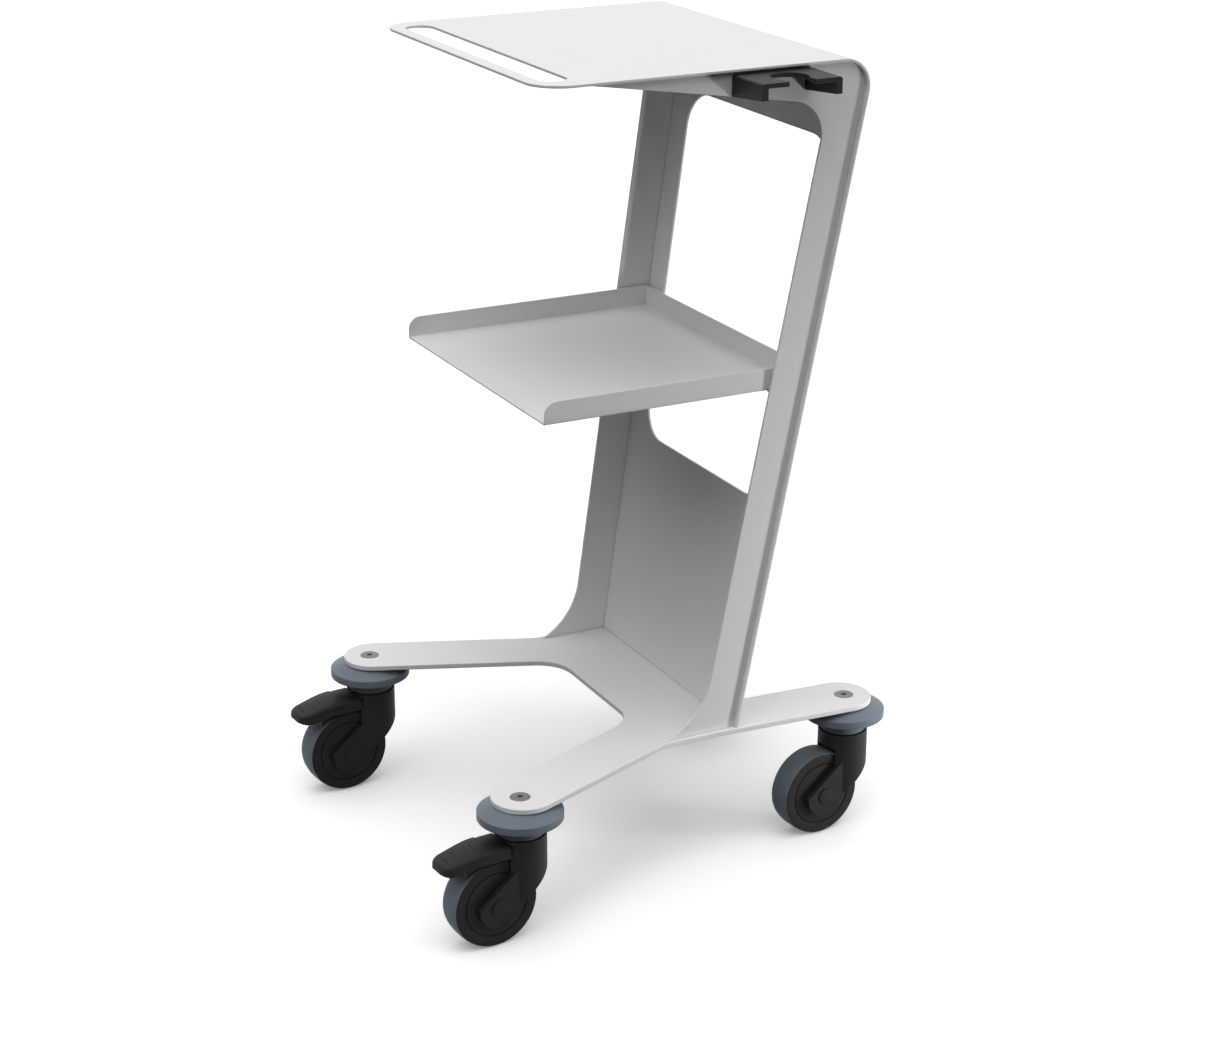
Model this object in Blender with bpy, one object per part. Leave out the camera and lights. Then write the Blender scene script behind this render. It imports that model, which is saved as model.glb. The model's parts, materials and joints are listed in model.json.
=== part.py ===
"""A medical equipment trolley: a bent sheet for top and back, two tilted side plates, a shelf tray,
a flat base with four legs, and four swivel casters, the front two with a brake pedal.

Metres, +Z up, -Y is the open front. The floor is z = 0, and the origin is the middle of the footprint.
Inside the root empty, x = 0 is the plane of symmetry and y = 0 lies halfway between the front and
rear swivel axes.
"""

import math

import bmesh
import bpy
from mathutils import Vector

# Driving dimensions of the sheet metal
TOP_Z = 0.912  # upper face of the top
BASE_Z = 0.1615  # upper face of the base plate
SHEET = 0.003  # top, back and side plates
GAP = 0.0003  # between pieces that touch
TOP_HALF = 0.205  # half width of the bent sheet at the top
FOOT_HALF = 0.1676  # and where it stands on the base
TOP_FRONT_Y = -0.1883
TOP_CORNER_R = 0.038
BEND_R = 0.032  # outer radius between top and back
BACK_LEAN = math.radians(9.66)
BACK_FOOT_Y = 0.0684  # outer face of the back, at the base
SLOT_Y = -0.1571  # hand slot near the front edge
SLOT_WIDTH = 0.032
SLOT_END = 0.026  # metal left at each end of the slot
WINDOW_TOP_Z = 0.8154
WINDOW_LOW_Z = 0.4138
WINDOW_MARGIN = 0.0443  # metal left beside the window
WINDOW_R = 0.040

# Side plates
PLATE_INSET = 0.0051  # how far the bent sheet's edge stands proud of the plate
LEG_WIDTH = 0.0431  # at the base, front edge to back sheet
LEG_LEAN = math.radians(9.804)
WEDGE_TIP_Y = -0.1373  # where the plate's lower edge starts under the top
WEDGE_FALL = math.radians(8.81)
WEDGE_R = 0.040  # fillet between the wedge and the upright
FLARE_R = 0.084  # sweep of the front edge at the foot
FLARE_RISE = 0.0777  # height of its centre above the base

# Base plate and its legs
BASE_T = 0.006
AXIS_Y = 0.2228  # swivel axes, ahead of and behind the middle
FRONT_AXIS_OUT = 0.0434  # a front one stands this far outside the sheet's foot
REAR_AXIS_IN = 0.0240  # and a rear one this far inside it
FRONT_SPLAY = math.radians(22.4)
REAR_SPLAY = math.radians(3.7)
LEG_HALF = 0.0355
LEG_ROUND_IN = 0.005  # the round end's centre lies this far inboard of the bolt
FRONT_NOTCH_Y = -0.0275
FRONT_NOTCH_R = 0.045
REAR_NOTCH_Y = 0.092
REAR_NOTCH_R = 0.022

# Shelf tray
SHELF_Z = 0.5582  # its underside
SHELF_T = 0.002
SHELF_RIM = 0.0246
SHELF_FRONT_Y = -0.1743
SHELF_SIDE_GAP = 0.0011
SHELF_RIM_R = 0.014
PEG_R = 0.002
PEG_LENGTH = 0.009
PEG_FRONT_IN = 0.0055  # front peg, behind the plate's front edge
PEG_REAR_IN = 0.009  # rear peg, in front of the back sheet

# Probe holder on the right side plate
HOLDER_REACH = 0.055  # its outer end, beyond the top's side edge
HOLDER_Y = (0.0273, 0.1206)
HOLDER_DROP = 0.0057  # its top, below the trolley's top
HOLDER_T = 0.005
CHEEK_T = 0.0075
CHEEK_DROP_IN = 0.0233  # depth of a cheek at the plate
CHEEK_DROP_OUT = 0.0173  # and at its outer end
HOLDER_BEND_R = 0.003
HOLE_IN = 0.0262  # the hole's axis, inside the outer end
HOLE_R = 0.020
MOUTH = 0.0306
SCREW_R = 0.002
SCREW_HEAD_R = 0.004
SCREW_HEAD_T = 0.0024
SCREW_BITE = 0.011  # depth in the holder
SCREW_DROP = 0.0133  # its axis below the holder's top

# Casters
CASTER_TURN = math.radians(4.13)  # how far each fork is swivelled from straight forward
WHEEL_R = 0.050
WHEEL_HALF = 0.0153
TRAIL = 0.0387  # swivel axis to axle
TREAD_HALF = 0.0151
TREAD_CROWN = 0.0013
TREAD_FLAT = 0.7  # share of the tread that stays level
RIM_R = 0.044
FLANGE_R = 0.0484
FLANGE_T = 0.0022
GROOVE_R = 0.0367
GROOVE = 0.0007
BUSH_R = 0.0065
AXLE_R = 0.004
AXLE_CAP_R = 0.0094
AXLE_CAP_T = 0.0013
WELL_R = 0.0545
WELL_HALF = 0.0173
ARM_OUT = 0.024
ARM_HALF_WIDTH = 0.016
ARM_END_R = 0.024
ARM_FALL = math.radians(39.2)
REAR_ROUND_R = 0.025  # where the crown's rear runs into the arms
REAR_ROUND_OUT = 0.0002  # how far behind the crown that round starts
CROWN_R = 0.0285
CROWN_TOP_Z = 0.121
STEM_R = 0.008
STEM_HEAD_R = 0.011
STEM_HEAD_Z = (0.0975, 0.103)
BOLT_R = 0.005
BOLT_HEAD_R = 0.0106
BOLT_LOW_Z = 0.128
SOCKET_R = 0.0035
SOCKET_DEPTH = 0.003
BEARING_R = 0.020
BEARING_T = 0.0074
COLLAR_R = 0.026
BUMPER_R = 0.0469
BUMPER_LOW_Z = 0.1375
BUMPER_RIM = 0.009
BUMPER_TOP_R = 0.030
BUMPER_EDGE = 0.0008

# Brake pedal of a front caster
PEDAL_HALF = 0.0185
PEDAL_TIP_HALF = 0.015
PEDAL_TAPER_FROM = 0.060
PEDAL_WALL = 0.003
PEDAL_TOP_Z = 0.1186
PEDAL_LOW_Z = 0.1005
PEDAL_REACH = 0.1005
PEDAL_TIP_R = 0.009
PEDAL_TIP_OVER = 0.0015  # its rounded plan would run this far past the blunt end
PEDAL_TIP_LENGTH = 0.0353  # the sloping tip
PEDAL_DROP = 0.0116  # its fall
PEDAL_BOW_R = 0.170
PEDAL_NOSE_R = 0.007
PEDAL_ROOM_HALF = 0.0135
PEDAL_BACK_R = 0.0301  # clears the crown as the pedal lifts
PIN = (0.018, 0.1145)  # distance ahead of the swivel axis, height
PIN_R = 0.0025
PIN_HALF = 0.020
HUB_R = 0.0055
TONGUE_HALF = 0.0115
POCKET_PLAY = 0.0005
SHOE_HALF = 0.012
SHOE_AHEAD = (0.0183, 0.0333)  # from the axle to its two ends
SHOE_ROOM = 0.008  # from the shoe to the pedal's blunt end, inside
SHOE_PLAY = 0.0008  # from the tread with the brake on
SHOE_SEAT = 0.0005  # under the pedal's bowed roof

ARC_STEP = math.radians(15)
SEGMENTS = {"wheel": 28, "large": 24, "medium": 20, "small": 16, "tiny": 12}
ROOF_STEPS = 4  # facets of the pedal's roof, inside
PAST = 0.009  # how far a cut runs past the faces that it goes through

# Sizes that follow from the driving ones
SLOT_HALF = TOP_HALF - SLOT_END
FRONT_AXIS = (FOOT_HALF + FRONT_AXIS_OUT, -AXIS_Y)
REAR_AXIS = (FOOT_HALF - REAR_AXIS_IN, AXIS_Y)
HOLDER_OUT_X = TOP_HALF + HOLDER_REACH
HOLDER_TOP_Z = TOP_Z - HOLDER_DROP
HOLE_X = HOLDER_OUT_X - HOLE_IN
BUMPER_FLAT = BUMPER_R * math.cos(math.pi / SEGMENTS["large"])
TREAD_EDGE_R = WHEEL_R / math.cos(math.pi / SEGMENTS["wheel"])
SHOE_SPAN = [TRAIL + d for d in SHOE_AHEAD]
PEDAL_ROOM_END = SHOE_SPAN[1] + SHOE_ROOM
PEDAL_BOW_AT = PEDAL_REACH - PEDAL_TIP_LENGTH
PEDAL_SLOPE = math.atan(PEDAL_DROP / PEDAL_TIP_LENGTH)
BOW_START = PEDAL_BOW_AT - PEDAL_BOW_R * math.tan(PEDAL_SLOPE / 2)
PLAN_REACH = PEDAL_REACH + PEDAL_TIP_OVER
PEDAL_TAPER = math.atan((PEDAL_HALF - PEDAL_TIP_HALF) / (PLAN_REACH - PEDAL_TAPER_FROM))
TIP_CENTRE = PEDAL_TIP_HALF - PEDAL_TIP_R * (1 - math.sin(PEDAL_TAPER)) / math.cos(PEDAL_TAPER)
TIP_CORNER = TIP_CENTRE + math.sqrt(PEDAL_TIP_OVER * (2 * PEDAL_TIP_R - PEDAL_TIP_OVER))
FRONT_END_Y = FRONT_AXIS[1] - PEDAL_REACH * math.cos(CASTER_TURN) - TIP_CORNER * math.sin(CASTER_TURN)
FOOTPRINT_X = (HOLDER_OUT_X - FRONT_AXIS[0] - BUMPER_FLAT) / 2
FOOTPRINT_Y = (REAR_AXIS[1] + BUMPER_FLAT + FRONT_END_Y) / 2
TAPER = (TOP_HALF - FOOT_HALF) / (TOP_Z - BASE_Z)
PLATE_TILT = math.atan(TAPER)
FOOT_Z = BASE_Z + GAP
SHEET_SLOPE = SHEET / math.cos(BACK_LEAN)
BEND_Z = TOP_Z - BEND_R


def half_width(z):
    """Half the bent sheet's width at a height."""
    return FOOT_HALF + TAPER * (z - BASE_Z)


def back_y(z):
    """The back sheet's outer face at a height."""
    return BACK_FOOT_Y + (z - BASE_Z) * math.tan(BACK_LEAN)


def back_inner_y(z):
    return back_y(z) - SHEET_SLOPE


def plate_x(z):
    """The right side plate's outer face at a height."""
    return half_width(z) - PLATE_INSET


def plate_inner_x(z):
    return plate_x(z) - SHEET / math.cos(PLATE_TILT)


def leg_front_y(z):
    """The side plate's front edge at a height."""
    return back_inner_y(BASE_Z) - LEG_WIDTH + (z - BASE_Z) * math.tan(LEG_LEAN)


BEND_Y = back_y(BEND_Z) - BEND_R / math.cos(BACK_LEAN)


def arc(centre, radius, start, end, step=ARC_STEP):
    """Points on an arc from one angle to another, both ends included."""
    count = max(2, math.ceil(abs(end - start) / step))
    angles = (start + (end - start) * i / count for i in range(count + 1))
    return [(centre[0] + radius * math.cos(a), centre[1] + radius * math.sin(a)) for a in angles]


def meet(p, p_angle, q, q_angle):
    """Where two lines in a plane cross, each given by a point and its direction's angle."""
    u = (math.cos(p_angle), math.sin(p_angle))
    v = (math.cos(q_angle), math.sin(q_angle))
    along = ((q[0] - p[0]) * v[1] - (q[1] - p[1]) * v[0]) / (u[0] * v[1] - u[1] * v[0])
    return (p[0] + along * u[0], p[1] + along * u[1])


def rounded(corners, step=ARC_STEP):
    """A closed outline from corners (a, b, radius), each rounded by its radius."""
    points = []
    count = len(corners)
    for i, (a, b, radius) in enumerate(corners):
        corner = Vector((a, b))
        before = (Vector(corners[i - 1][:2]) - corner).normalized()
        after = (Vector(corners[(i + 1) % count][:2]) - corner).normalized()
        if not radius:
            points.append(tuple(corner))
            continue
        opening = before.angle(after)
        centre = corner + (before + after).normalized() * radius / math.sin(opening / 2)
        reach = radius / math.tan(opening / 2)
        first = corner + before * reach - centre
        last = corner + after * reach - centre
        start = math.atan2(first.y, first.x)
        turn = math.atan2(first.x * last.y - first.y * last.x, first.dot(last))
        points += arc(centre, radius, start, start + turn, step)
    kept = [p for i, p in enumerate(points) if math.dist(p, points[i - 1]) > 1e-6]
    return kept


def finish(name, colour, roughness, metallic=0.0):
    material = bpy.data.materials.new(name)
    material.use_nodes = True
    shader = material.node_tree.nodes["Principled BSDF"]
    shader.inputs["Base Color"].default_value = (*colour, 1.0)
    shader.inputs["Roughness"].default_value = roughness
    shader.inputs["Metallic"].default_value = metallic
    material.diffuse_color = (*colour, 1.0)
    return material


def empty(name, location, parent=None, turn=0.0):
    obj = bpy.data.objects.new(name, None)
    obj.location = location
    obj.rotation_euler = (0, 0, turn)
    obj.parent = parent
    bpy.context.scene.collection.objects.link(obj)
    return obj


def place(name, bm, material, parent, location=(0, 0, 0), rotation=(0, 0, 0), sharp=30):
    """An object from a bmesh, with its faces turned outwards."""
    bmesh.ops.remove_doubles(bm, verts=bm.verts, dist=1e-7)
    bmesh.ops.recalc_face_normals(bm, faces=bm.faces)
    mesh = bpy.data.meshes.new(name)
    bm.to_mesh(mesh)
    bm.free()
    mesh.shade_smooth()
    mesh.set_sharp_from_angle(angle=math.radians(sharp))
    if material:
        mesh.materials.append(material)
    obj = bpy.data.objects.new(name, mesh)
    obj.location = location
    obj.rotation_euler = rotation
    obj.parent = parent
    bpy.context.scene.collection.objects.link(obj)
    return obj


def add_loft(bm, low, high):
    """A closed solid between two loops of the same number of points."""
    low_verts = [bm.verts.new(p) for p in low]
    high_verts = [bm.verts.new(p) for p in high]
    bm.faces.new(low_verts)
    bm.faces.new(high_verts)
    for i in range(len(low)):
        bm.faces.new((low_verts[i - 1], low_verts[i], high_verts[i], high_verts[i - 1]))


def loft(low, high):
    bm = bmesh.new()
    add_loft(bm, low, high)
    return bm


def along_x(outline, low, high):
    """A prism along X from an outline in (y, z)."""
    return loft([(low, a, b) for a, b in outline], [(high, a, b) for a, b in outline])


def along_z(outline, low, high):
    """A prism along Z from an outline in (x, y)."""
    return loft([(a, b, low) for a, b in outline], [(a, b, high) for a, b in outline])


def turned(profile, segments, axis="Z"):
    """A profile of (radius, height) turned about Z or X. One flat of the round faces -Z about X."""
    bm = bmesh.new()
    first = math.pi / segments
    verts = []
    for radius, height in profile:
        side, down = radius * math.sin(first), -radius * math.cos(first)
        point = (side, down, height) if axis == "Z" else (height, side, down)
        verts.append(bm.verts.new(point))
    edges = [bm.edges.new((verts[i - 1], verts[i])) for i in range(1, len(verts))]
    if profile[0][0] > 0 or profile[-1][0] > 0:
        edges.append(bm.edges.new((verts[-1], verts[0])))
    direction = (0, 0, 1) if axis == "Z" else (1, 0, 0)
    bmesh.ops.spin(
        bm, geom=verts + edges, cent=(0, 0, 0), axis=direction, angle=2 * math.pi, steps=segments,
        use_merge=True,
    )
    bmesh.ops.remove_doubles(bm, verts=bm.verts, dist=1e-7)
    bmesh.ops.dissolve_degenerate(bm, dist=1e-7, edges=bm.edges)
    return bm


def cutter(name, bm, parent, location=(0, 0, 0), rotation=(0, 0, 0)):
    obj = place(name, bm, None, parent, location, rotation)
    obj.hide_render = True
    obj.display_type = "WIRE"
    return obj


def combine(obj, other, operation="DIFFERENCE"):
    modifier = obj.modifiers.new(other.name, "BOOLEAN")
    modifier.operation = operation
    modifier.object = other
    modifier.solver = "EXACT"


def bent_sheet(root, paint):
    """Top, rear bend and leaning back in one sheet, whose edges lie in the planes of its taper."""
    outer = [(TOP_FRONT_Y, TOP_Z)]
    outer += arc((BEND_Y, BEND_Z), BEND_R, math.pi / 2, -BACK_LEAN)
    outer += [(back_y(FOOT_Z), FOOT_Z)]
    inner = [(back_inner_y(FOOT_Z), FOOT_Z)]
    inner += arc((BEND_Y, BEND_Z), BEND_R - SHEET, -BACK_LEAN, math.pi / 2)
    inner += [(TOP_FRONT_Y, TOP_Z - SHEET)]
    section = outer + inner
    left = [(-half_width(z), y, z) for y, z in section]
    right = [(half_width(z), y, z) for y, z in section]
    sheet = place("top_and_back_sheet", loft(left, right), paint, root)

    cuts = bmesh.new()
    low, high = TOP_Z - PAST, TOP_Z + PAST
    half_slot = SLOT_WIDTH / 2
    slot = rounded([
        (-SLOT_HALF, SLOT_Y - half_slot, half_slot),
        (SLOT_HALF, SLOT_Y - half_slot, half_slot),
        (SLOT_HALF, SLOT_Y + half_slot, half_slot),
        (-SLOT_HALF, SLOT_Y + half_slot, half_slot),
    ])
    outlines = [slot]
    for side in (-1, 1):
        edge = side * TOP_HALF
        centre = (edge - side * TOP_CORNER_R, TOP_FRONT_Y + TOP_CORNER_R)
        start = -math.pi / 2
        bow = arc(centre, TOP_CORNER_R, start, start + side * math.pi / 2)
        outside, ahead_of = edge + side * PAST, TOP_FRONT_Y - PAST
        beyond = [(outside, bow[-1][1]), (outside, ahead_of), (bow[0][0], ahead_of)]
        outlines.append(bow + beyond)
    for outline in outlines:
        add_loft(cuts, [(a, b, low) for a, b in outline], [(a, b, high) for a, b in outline])
    combine(sheet, cutter("top_cuts", cuts, root))

    def in_back(x, z, depth):
        y = back_y(z) + depth * math.cos(BACK_LEAN)
        return (x, y, z - depth * math.sin(BACK_LEAN))

    slope = math.cos(BACK_LEAN)
    corners = []
    for z, side in ((WINDOW_LOW_Z, -1), (WINDOW_LOW_Z, 1), (WINDOW_TOP_Z, 1), (WINDOW_TOP_Z, -1)):
        corners.append((side * (half_width(z) - WINDOW_MARGIN), z / slope, WINDOW_R))
    window = rounded(corners)
    front = [in_back(x, s * slope, -PAST) for x, s in window]
    rear = [in_back(x, s * slope, PAST) for x, s in window]
    combine(sheet, cutter("window_cut", loft(front, rear), root))


def plate_outline():
    """A side plate in (y, z), from the tip of its foot round by the front edge and the top."""
    seat = GAP + SHEET * math.sin(PLATE_TILT)
    turn_r = BEND_R - SHEET - seat
    crown_z = BEND_Z + turn_r
    front = (leg_front_y(BASE_Z), BASE_Z)
    front_angle = math.pi / 2 - LEG_LEAN
    centre_z = BASE_Z + FLARE_RISE
    centre_y = leg_front_y(centre_z) - FLARE_R / math.cos(LEG_LEAN)
    tip_angle = -math.asin((centre_z - FOOT_Z) / FLARE_R)
    outline = arc((centre_y, centre_z), FLARE_R, tip_angle, -LEG_LEAN)

    wedge_tip = (WEDGE_TIP_Y, TOP_Z - SHEET)
    corner = meet(front, front_angle, wedge_tip, -WEDGE_FALL)
    below_z = corner[1] - 2 * WEDGE_R
    below = (leg_front_y(below_z), below_z)
    blend = rounded([(*below, 0), (*corner, WEDGE_R), (*wedge_tip, 0)])
    outline += blend[1:-1]
    outline.append(meet(wedge_tip, -WEDGE_FALL, (0, crown_z), 0))

    outline += arc((BEND_Y, BEND_Z), turn_r, math.pi / 2, -BACK_LEAN)
    outline.append((back_inner_y(FOOT_Z) - seat / math.cos(BACK_LEAN), FOOT_Z))
    return outline


def screw_centres():
    """Where the holder's two screws run, in (y, z): along the middle of its cheeks."""
    front, rear = HOLDER_Y
    z = HOLDER_TOP_Z - SCREW_DROP
    return [(front + CHEEK_T / 2, z), (rear - CHEEK_T / 2, z)]


def drilled(radius, low, high, segments="tiny"):
    """A plain round rod along X, or the hole for one."""
    return turned([(0, low), (radius, low), (radius, high), (0, high)], SEGMENTS[segments], "X")


def side_plates(root, paint, bores):
    upright = math.cos(PLATE_TILT)
    for side, name in ((-1, "left"), (1, "right")):
        outline = [(y, (z - FOOT_Z) / upright) for y, z in plate_outline()]
        bm = along_x(outline, -side * SHEET, 0)
        location = (side * plate_x(FOOT_Z), 0, FOOT_Z)
        plate = place(f"side_plate_{name}", bm, paint, root, location, (0, side * PLATE_TILT, 0))
        if side > 0:
            for bore in bores:
                combine(plate, bore)


def screw_bores(root):
    """Clearance holes for the holder's screws, square to the right side plate."""
    bores = []
    for i, (y, z) in enumerate(screw_centres()):
        hole = drilled(SCREW_R + GAP, -PAST, SCREW_BITE + GAP)
        here = (plate_x(z), y, z)
        bores.append(cutter(f"screw_bore_{i + 1}", hole, root, here, (0, PLATE_TILT, 0)))
    return bores


def leg(axis, direction):
    """A right-hand leg's bolt point, its outward direction and the direction a quarter turn on."""
    along = Vector((math.sin(direction), -math.cos(direction)))
    return Vector(axis), along, Vector((-along.y, along.x))


def angle_of(direction):
    return math.atan2(direction.y, direction.x)


def leg_end(bolt, along, across):
    centre = bolt - along * LEG_ROUND_IN
    start = angle_of(-across)
    return arc(centre, LEG_HALF, start, start + math.pi)


def base_outline():
    """The base's right half in (x, y), from the front notch round by the right side to the rear notch."""
    bolt, along, across = leg(FRONT_AXIS, FRONT_SPLAY)
    inner = bolt - across * LEG_HALF
    outer = bolt + across * LEG_HALF
    notch = meet(inner, angle_of(along), (0, FRONT_NOTCH_Y), 0)
    outline = rounded([(0, FRONT_NOTCH_Y, 0), (*notch, FRONT_NOTCH_R), (*inner, 0)])[1:-1]
    outline += leg_end(bolt, along, across)
    outline.append(meet(outer, angle_of(along), (FOOT_HALF, 0), math.pi / 2))

    bolt, along, across = leg(REAR_AXIS, math.pi - REAR_SPLAY)
    outer = bolt - across * LEG_HALF
    inner = bolt + across * LEG_HALF
    notch = meet(inner, angle_of(along), (0, REAR_NOTCH_Y), 0)
    outline.append(meet(outer, angle_of(along), (FOOT_HALF, 0), math.pi / 2))
    outline += leg_end(bolt, along, across)
    outline += rounded([(*inner, 0), (*notch, REAR_NOTCH_R), (0, REAR_NOTCH_Y, 0)])[1:-1]
    return outline


def caster_places():
    return {
        "front_left": (-FRONT_AXIS[0], FRONT_AXIS[1]),
        "front_right": FRONT_AXIS,
        "rear_left": (-REAR_AXIS[0], REAR_AXIS[1]),
        "rear_right": REAR_AXIS,
    }


def base_plate(root, paint):
    """A flat plate whose four legs run straight to round ends under the bolts."""
    right = base_outline()
    left = [(-x, y) for x, y in reversed(right)]
    plate = place("base_plate", along_z(right + left, BASE_Z - BASE_T, BASE_Z), paint, root)
    hole, head = BOLT_R + GAP, BOLT_HEAD_R + GAP
    sink_z = BASE_Z - (head - hole)
    low, high = BASE_Z - PAST, BASE_Z + PAST
    profile = [(0, low), (hole, low), (hole, sink_z), (head, BASE_Z), (head, high), (0, high)]
    for name, (x, y) in caster_places().items():
        cut = turned(profile, SEGMENTS["small"])
        combine(plate, cutter(f"{name}_bolt_cut", cut, root, (x, y, 0)))


def shelf_tray(root, paint):
    """A tray folded from one sheet: a rim at the left, right and rear, and an open front."""
    half = plate_inner_x(SHELF_Z) - SHELF_SIDE_GAP
    rear = back_inner_y(SHELF_Z) - GAP
    rim_z = SHELF_Z + SHELF_RIM
    outer = rounded([
        (SHELF_FRONT_Y, SHELF_Z, 0),
        (SHELF_FRONT_Y, rim_z, SHELF_RIM_R),
        (rear, rim_z, 0),
        (rear, SHELF_Z, 0),
    ])
    tray = place("shelf_tray", along_x(outer, -half, half), paint, root)
    room = half - SHELF_T
    floor, top = SHELF_Z + SHELF_T, rim_z + PAST
    front, back = SHELF_FRONT_Y - PAST, rear - SHELF_T
    hollow = along_x([(front, floor), (back, floor), (back, top), (front, top)], -room, room)
    combine(tray, cutter("shelf_hollow", hollow, root))


def shelf_pegs(root, steel):
    """Short studs on the inner faces of the side plates, on which the tray rests."""
    z = SHELF_Z - GAP - PEG_R
    places = {"front": leg_front_y(z) + PEG_FRONT_IN, "rear": back_inner_y(z) - PEG_REAR_IN}
    for side, name in ((-1, "left"), (1, "right")):
        seat = plate_inner_x(z) - GAP
        for where, y in places.items():
            stud = drilled(PEG_R, -PEG_LENGTH, 0)
            rotation = (0, 0, 0 if side > 0 else math.pi)
            place(f"shelf_peg_{name}_{where}", stud, steel, root, (side * seat, y, z), rotation)


def probe_holder(root, plastic, steel, bores):
    """A channel with a round hole that opens outwards, screwed to the right side plate."""
    front, rear = HOLDER_Y
    under = HOLDER_TOP_Z - HOLDER_T

    def section(x_at, drop):
        low = HOLDER_TOP_Z - drop
        outline = rounded([
            (front, low, 0),
            (front + CHEEK_T, low, 0),
            (front + CHEEK_T, under, 0),
            (rear - CHEEK_T, under, 0),
            (rear - CHEEK_T, low, 0),
            (rear, low, 0),
            (rear, HOLDER_TOP_Z, HOLDER_BEND_R),
            (front, HOLDER_TOP_Z, HOLDER_BEND_R),
        ], step=ARC_STEP * 2)
        return [(x_at(z), y, z) for y, z in outline]

    def against_plate(z):
        return plate_x(z) + GAP / math.cos(PLATE_TILT)

    bm = loft(section(against_plate, CHEEK_DROP_IN), section(lambda z: HOLDER_OUT_X, CHEEK_DROP_OUT))
    holder = place("probe_holder", bm, plastic, root)

    middle = (front + rear) / 2
    half = MOUTH / 2
    open_at = math.asin(half / HOLE_R)
    outline = arc((HOLE_X, middle), HOLE_R, open_at, 2 * math.pi - open_at)
    outside = HOLDER_OUT_X + PAST
    outline += [(outside, middle - half), (outside, middle + half)]
    hole = along_z(outline, under - PAST, HOLDER_TOP_Z + PAST)
    combine(holder, cutter("holder_hole", hole, root))
    for bore in bores:
        combine(holder, bore)

    thick = SHEET + GAP
    profile = [
        (0, -thick - SCREW_HEAD_T),
        (SCREW_HEAD_R, -thick - SCREW_HEAD_T),
        (SCREW_HEAD_R, -thick),
        (SCREW_R, -thick),
        (SCREW_R, SCREW_BITE),
        (0, SCREW_BITE),
    ]
    for name, (y, z) in zip(("front", "rear"), screw_centres()):
        bm = turned(profile, SEGMENTS["tiny"], "X")
        place(f"holder_screw_{name}", bm, steel, root, (plate_x(z), y, z), (0, PLATE_TILT, 0))


def ahead(outline):
    """An outline in (distance ahead of the swivel axis, z) turned to a caster's own (y, z)."""
    return [(-d, z) for d, z in outline]


def caster_mount(name, root, x, y, materials):
    """What is bolted to the leg: bolt, bumper disc, collar, swivel bearing and swivel stem."""
    here = (x, y, 0)
    under_base = BASE_Z - BASE_T - GAP
    profile = [
        (0, BASE_Z),
        (BOLT_HEAD_R, BASE_Z),
        (BOLT_R, BASE_Z - (BOLT_HEAD_R - BOLT_R)),
        (BOLT_R, BOLT_LOW_Z),
        (0, BOLT_LOW_Z),
    ]
    bolt = place(f"{name}_bolt", turned(profile, SEGMENTS["small"]), materials["steel"], root, here)
    hexagon = arc((0, 0), SOCKET_R, 0, 2 * math.pi, math.pi / 3)[:-1]
    socket = along_z(hexagon, BASE_Z - SOCKET_DEPTH, BASE_Z + PAST)
    combine(bolt, cutter(f"{name}_socket", socket, root, here))

    bore = STEM_R + GAP
    profile = [
        (bore, under_base),
        (BUMPER_TOP_R, under_base),
        (BUMPER_R, BUMPER_LOW_Z + BUMPER_RIM),
        (BUMPER_R, BUMPER_LOW_Z + BUMPER_EDGE),
        (BUMPER_R - BUMPER_EDGE, BUMPER_LOW_Z),
        (bore, BUMPER_LOW_Z),
    ]
    place(f"{name}_bumper_disc", turned(profile, SEGMENTS["large"]), materials["grey"], root, here)

    low = CROWN_TOP_Z + GAP
    race = BEARING_R + GAP
    profile = [
        (bore, BUMPER_LOW_Z - GAP),
        (COLLAR_R, BUMPER_LOW_Z - GAP),
        (COLLAR_R, low),
        (race, low),
        (race, low + BEARING_T + GAP),
        (bore, low + BEARING_T + GAP),
    ]
    place(f"{name}_collar", turned(profile, SEGMENTS["medium"]), materials["grey"], root, here)
    profile = [(bore, low), (bore, low + BEARING_T), (BEARING_R, low + BEARING_T), (BEARING_R, low)]
    place(f"{name}_swivel_bearing", turned(profile, SEGMENTS["tiny"]), materials["steel"], root, here)

    tap = BOLT_R + GAP
    head_low, head_top = STEM_HEAD_Z
    profile = [
        (0, BOLT_LOW_Z - GAP),
        (tap, BOLT_LOW_Z - GAP),
        (tap, under_base),
        (STEM_R, under_base),
        (STEM_R, head_top),
        (STEM_HEAD_R, head_top),
        (STEM_HEAD_R, head_low),
        (0, head_low),
    ]
    place(f"{name}_swivel_stem", turned(profile, SEGMENTS["tiny"]), materials["steel"], root, here)


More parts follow.
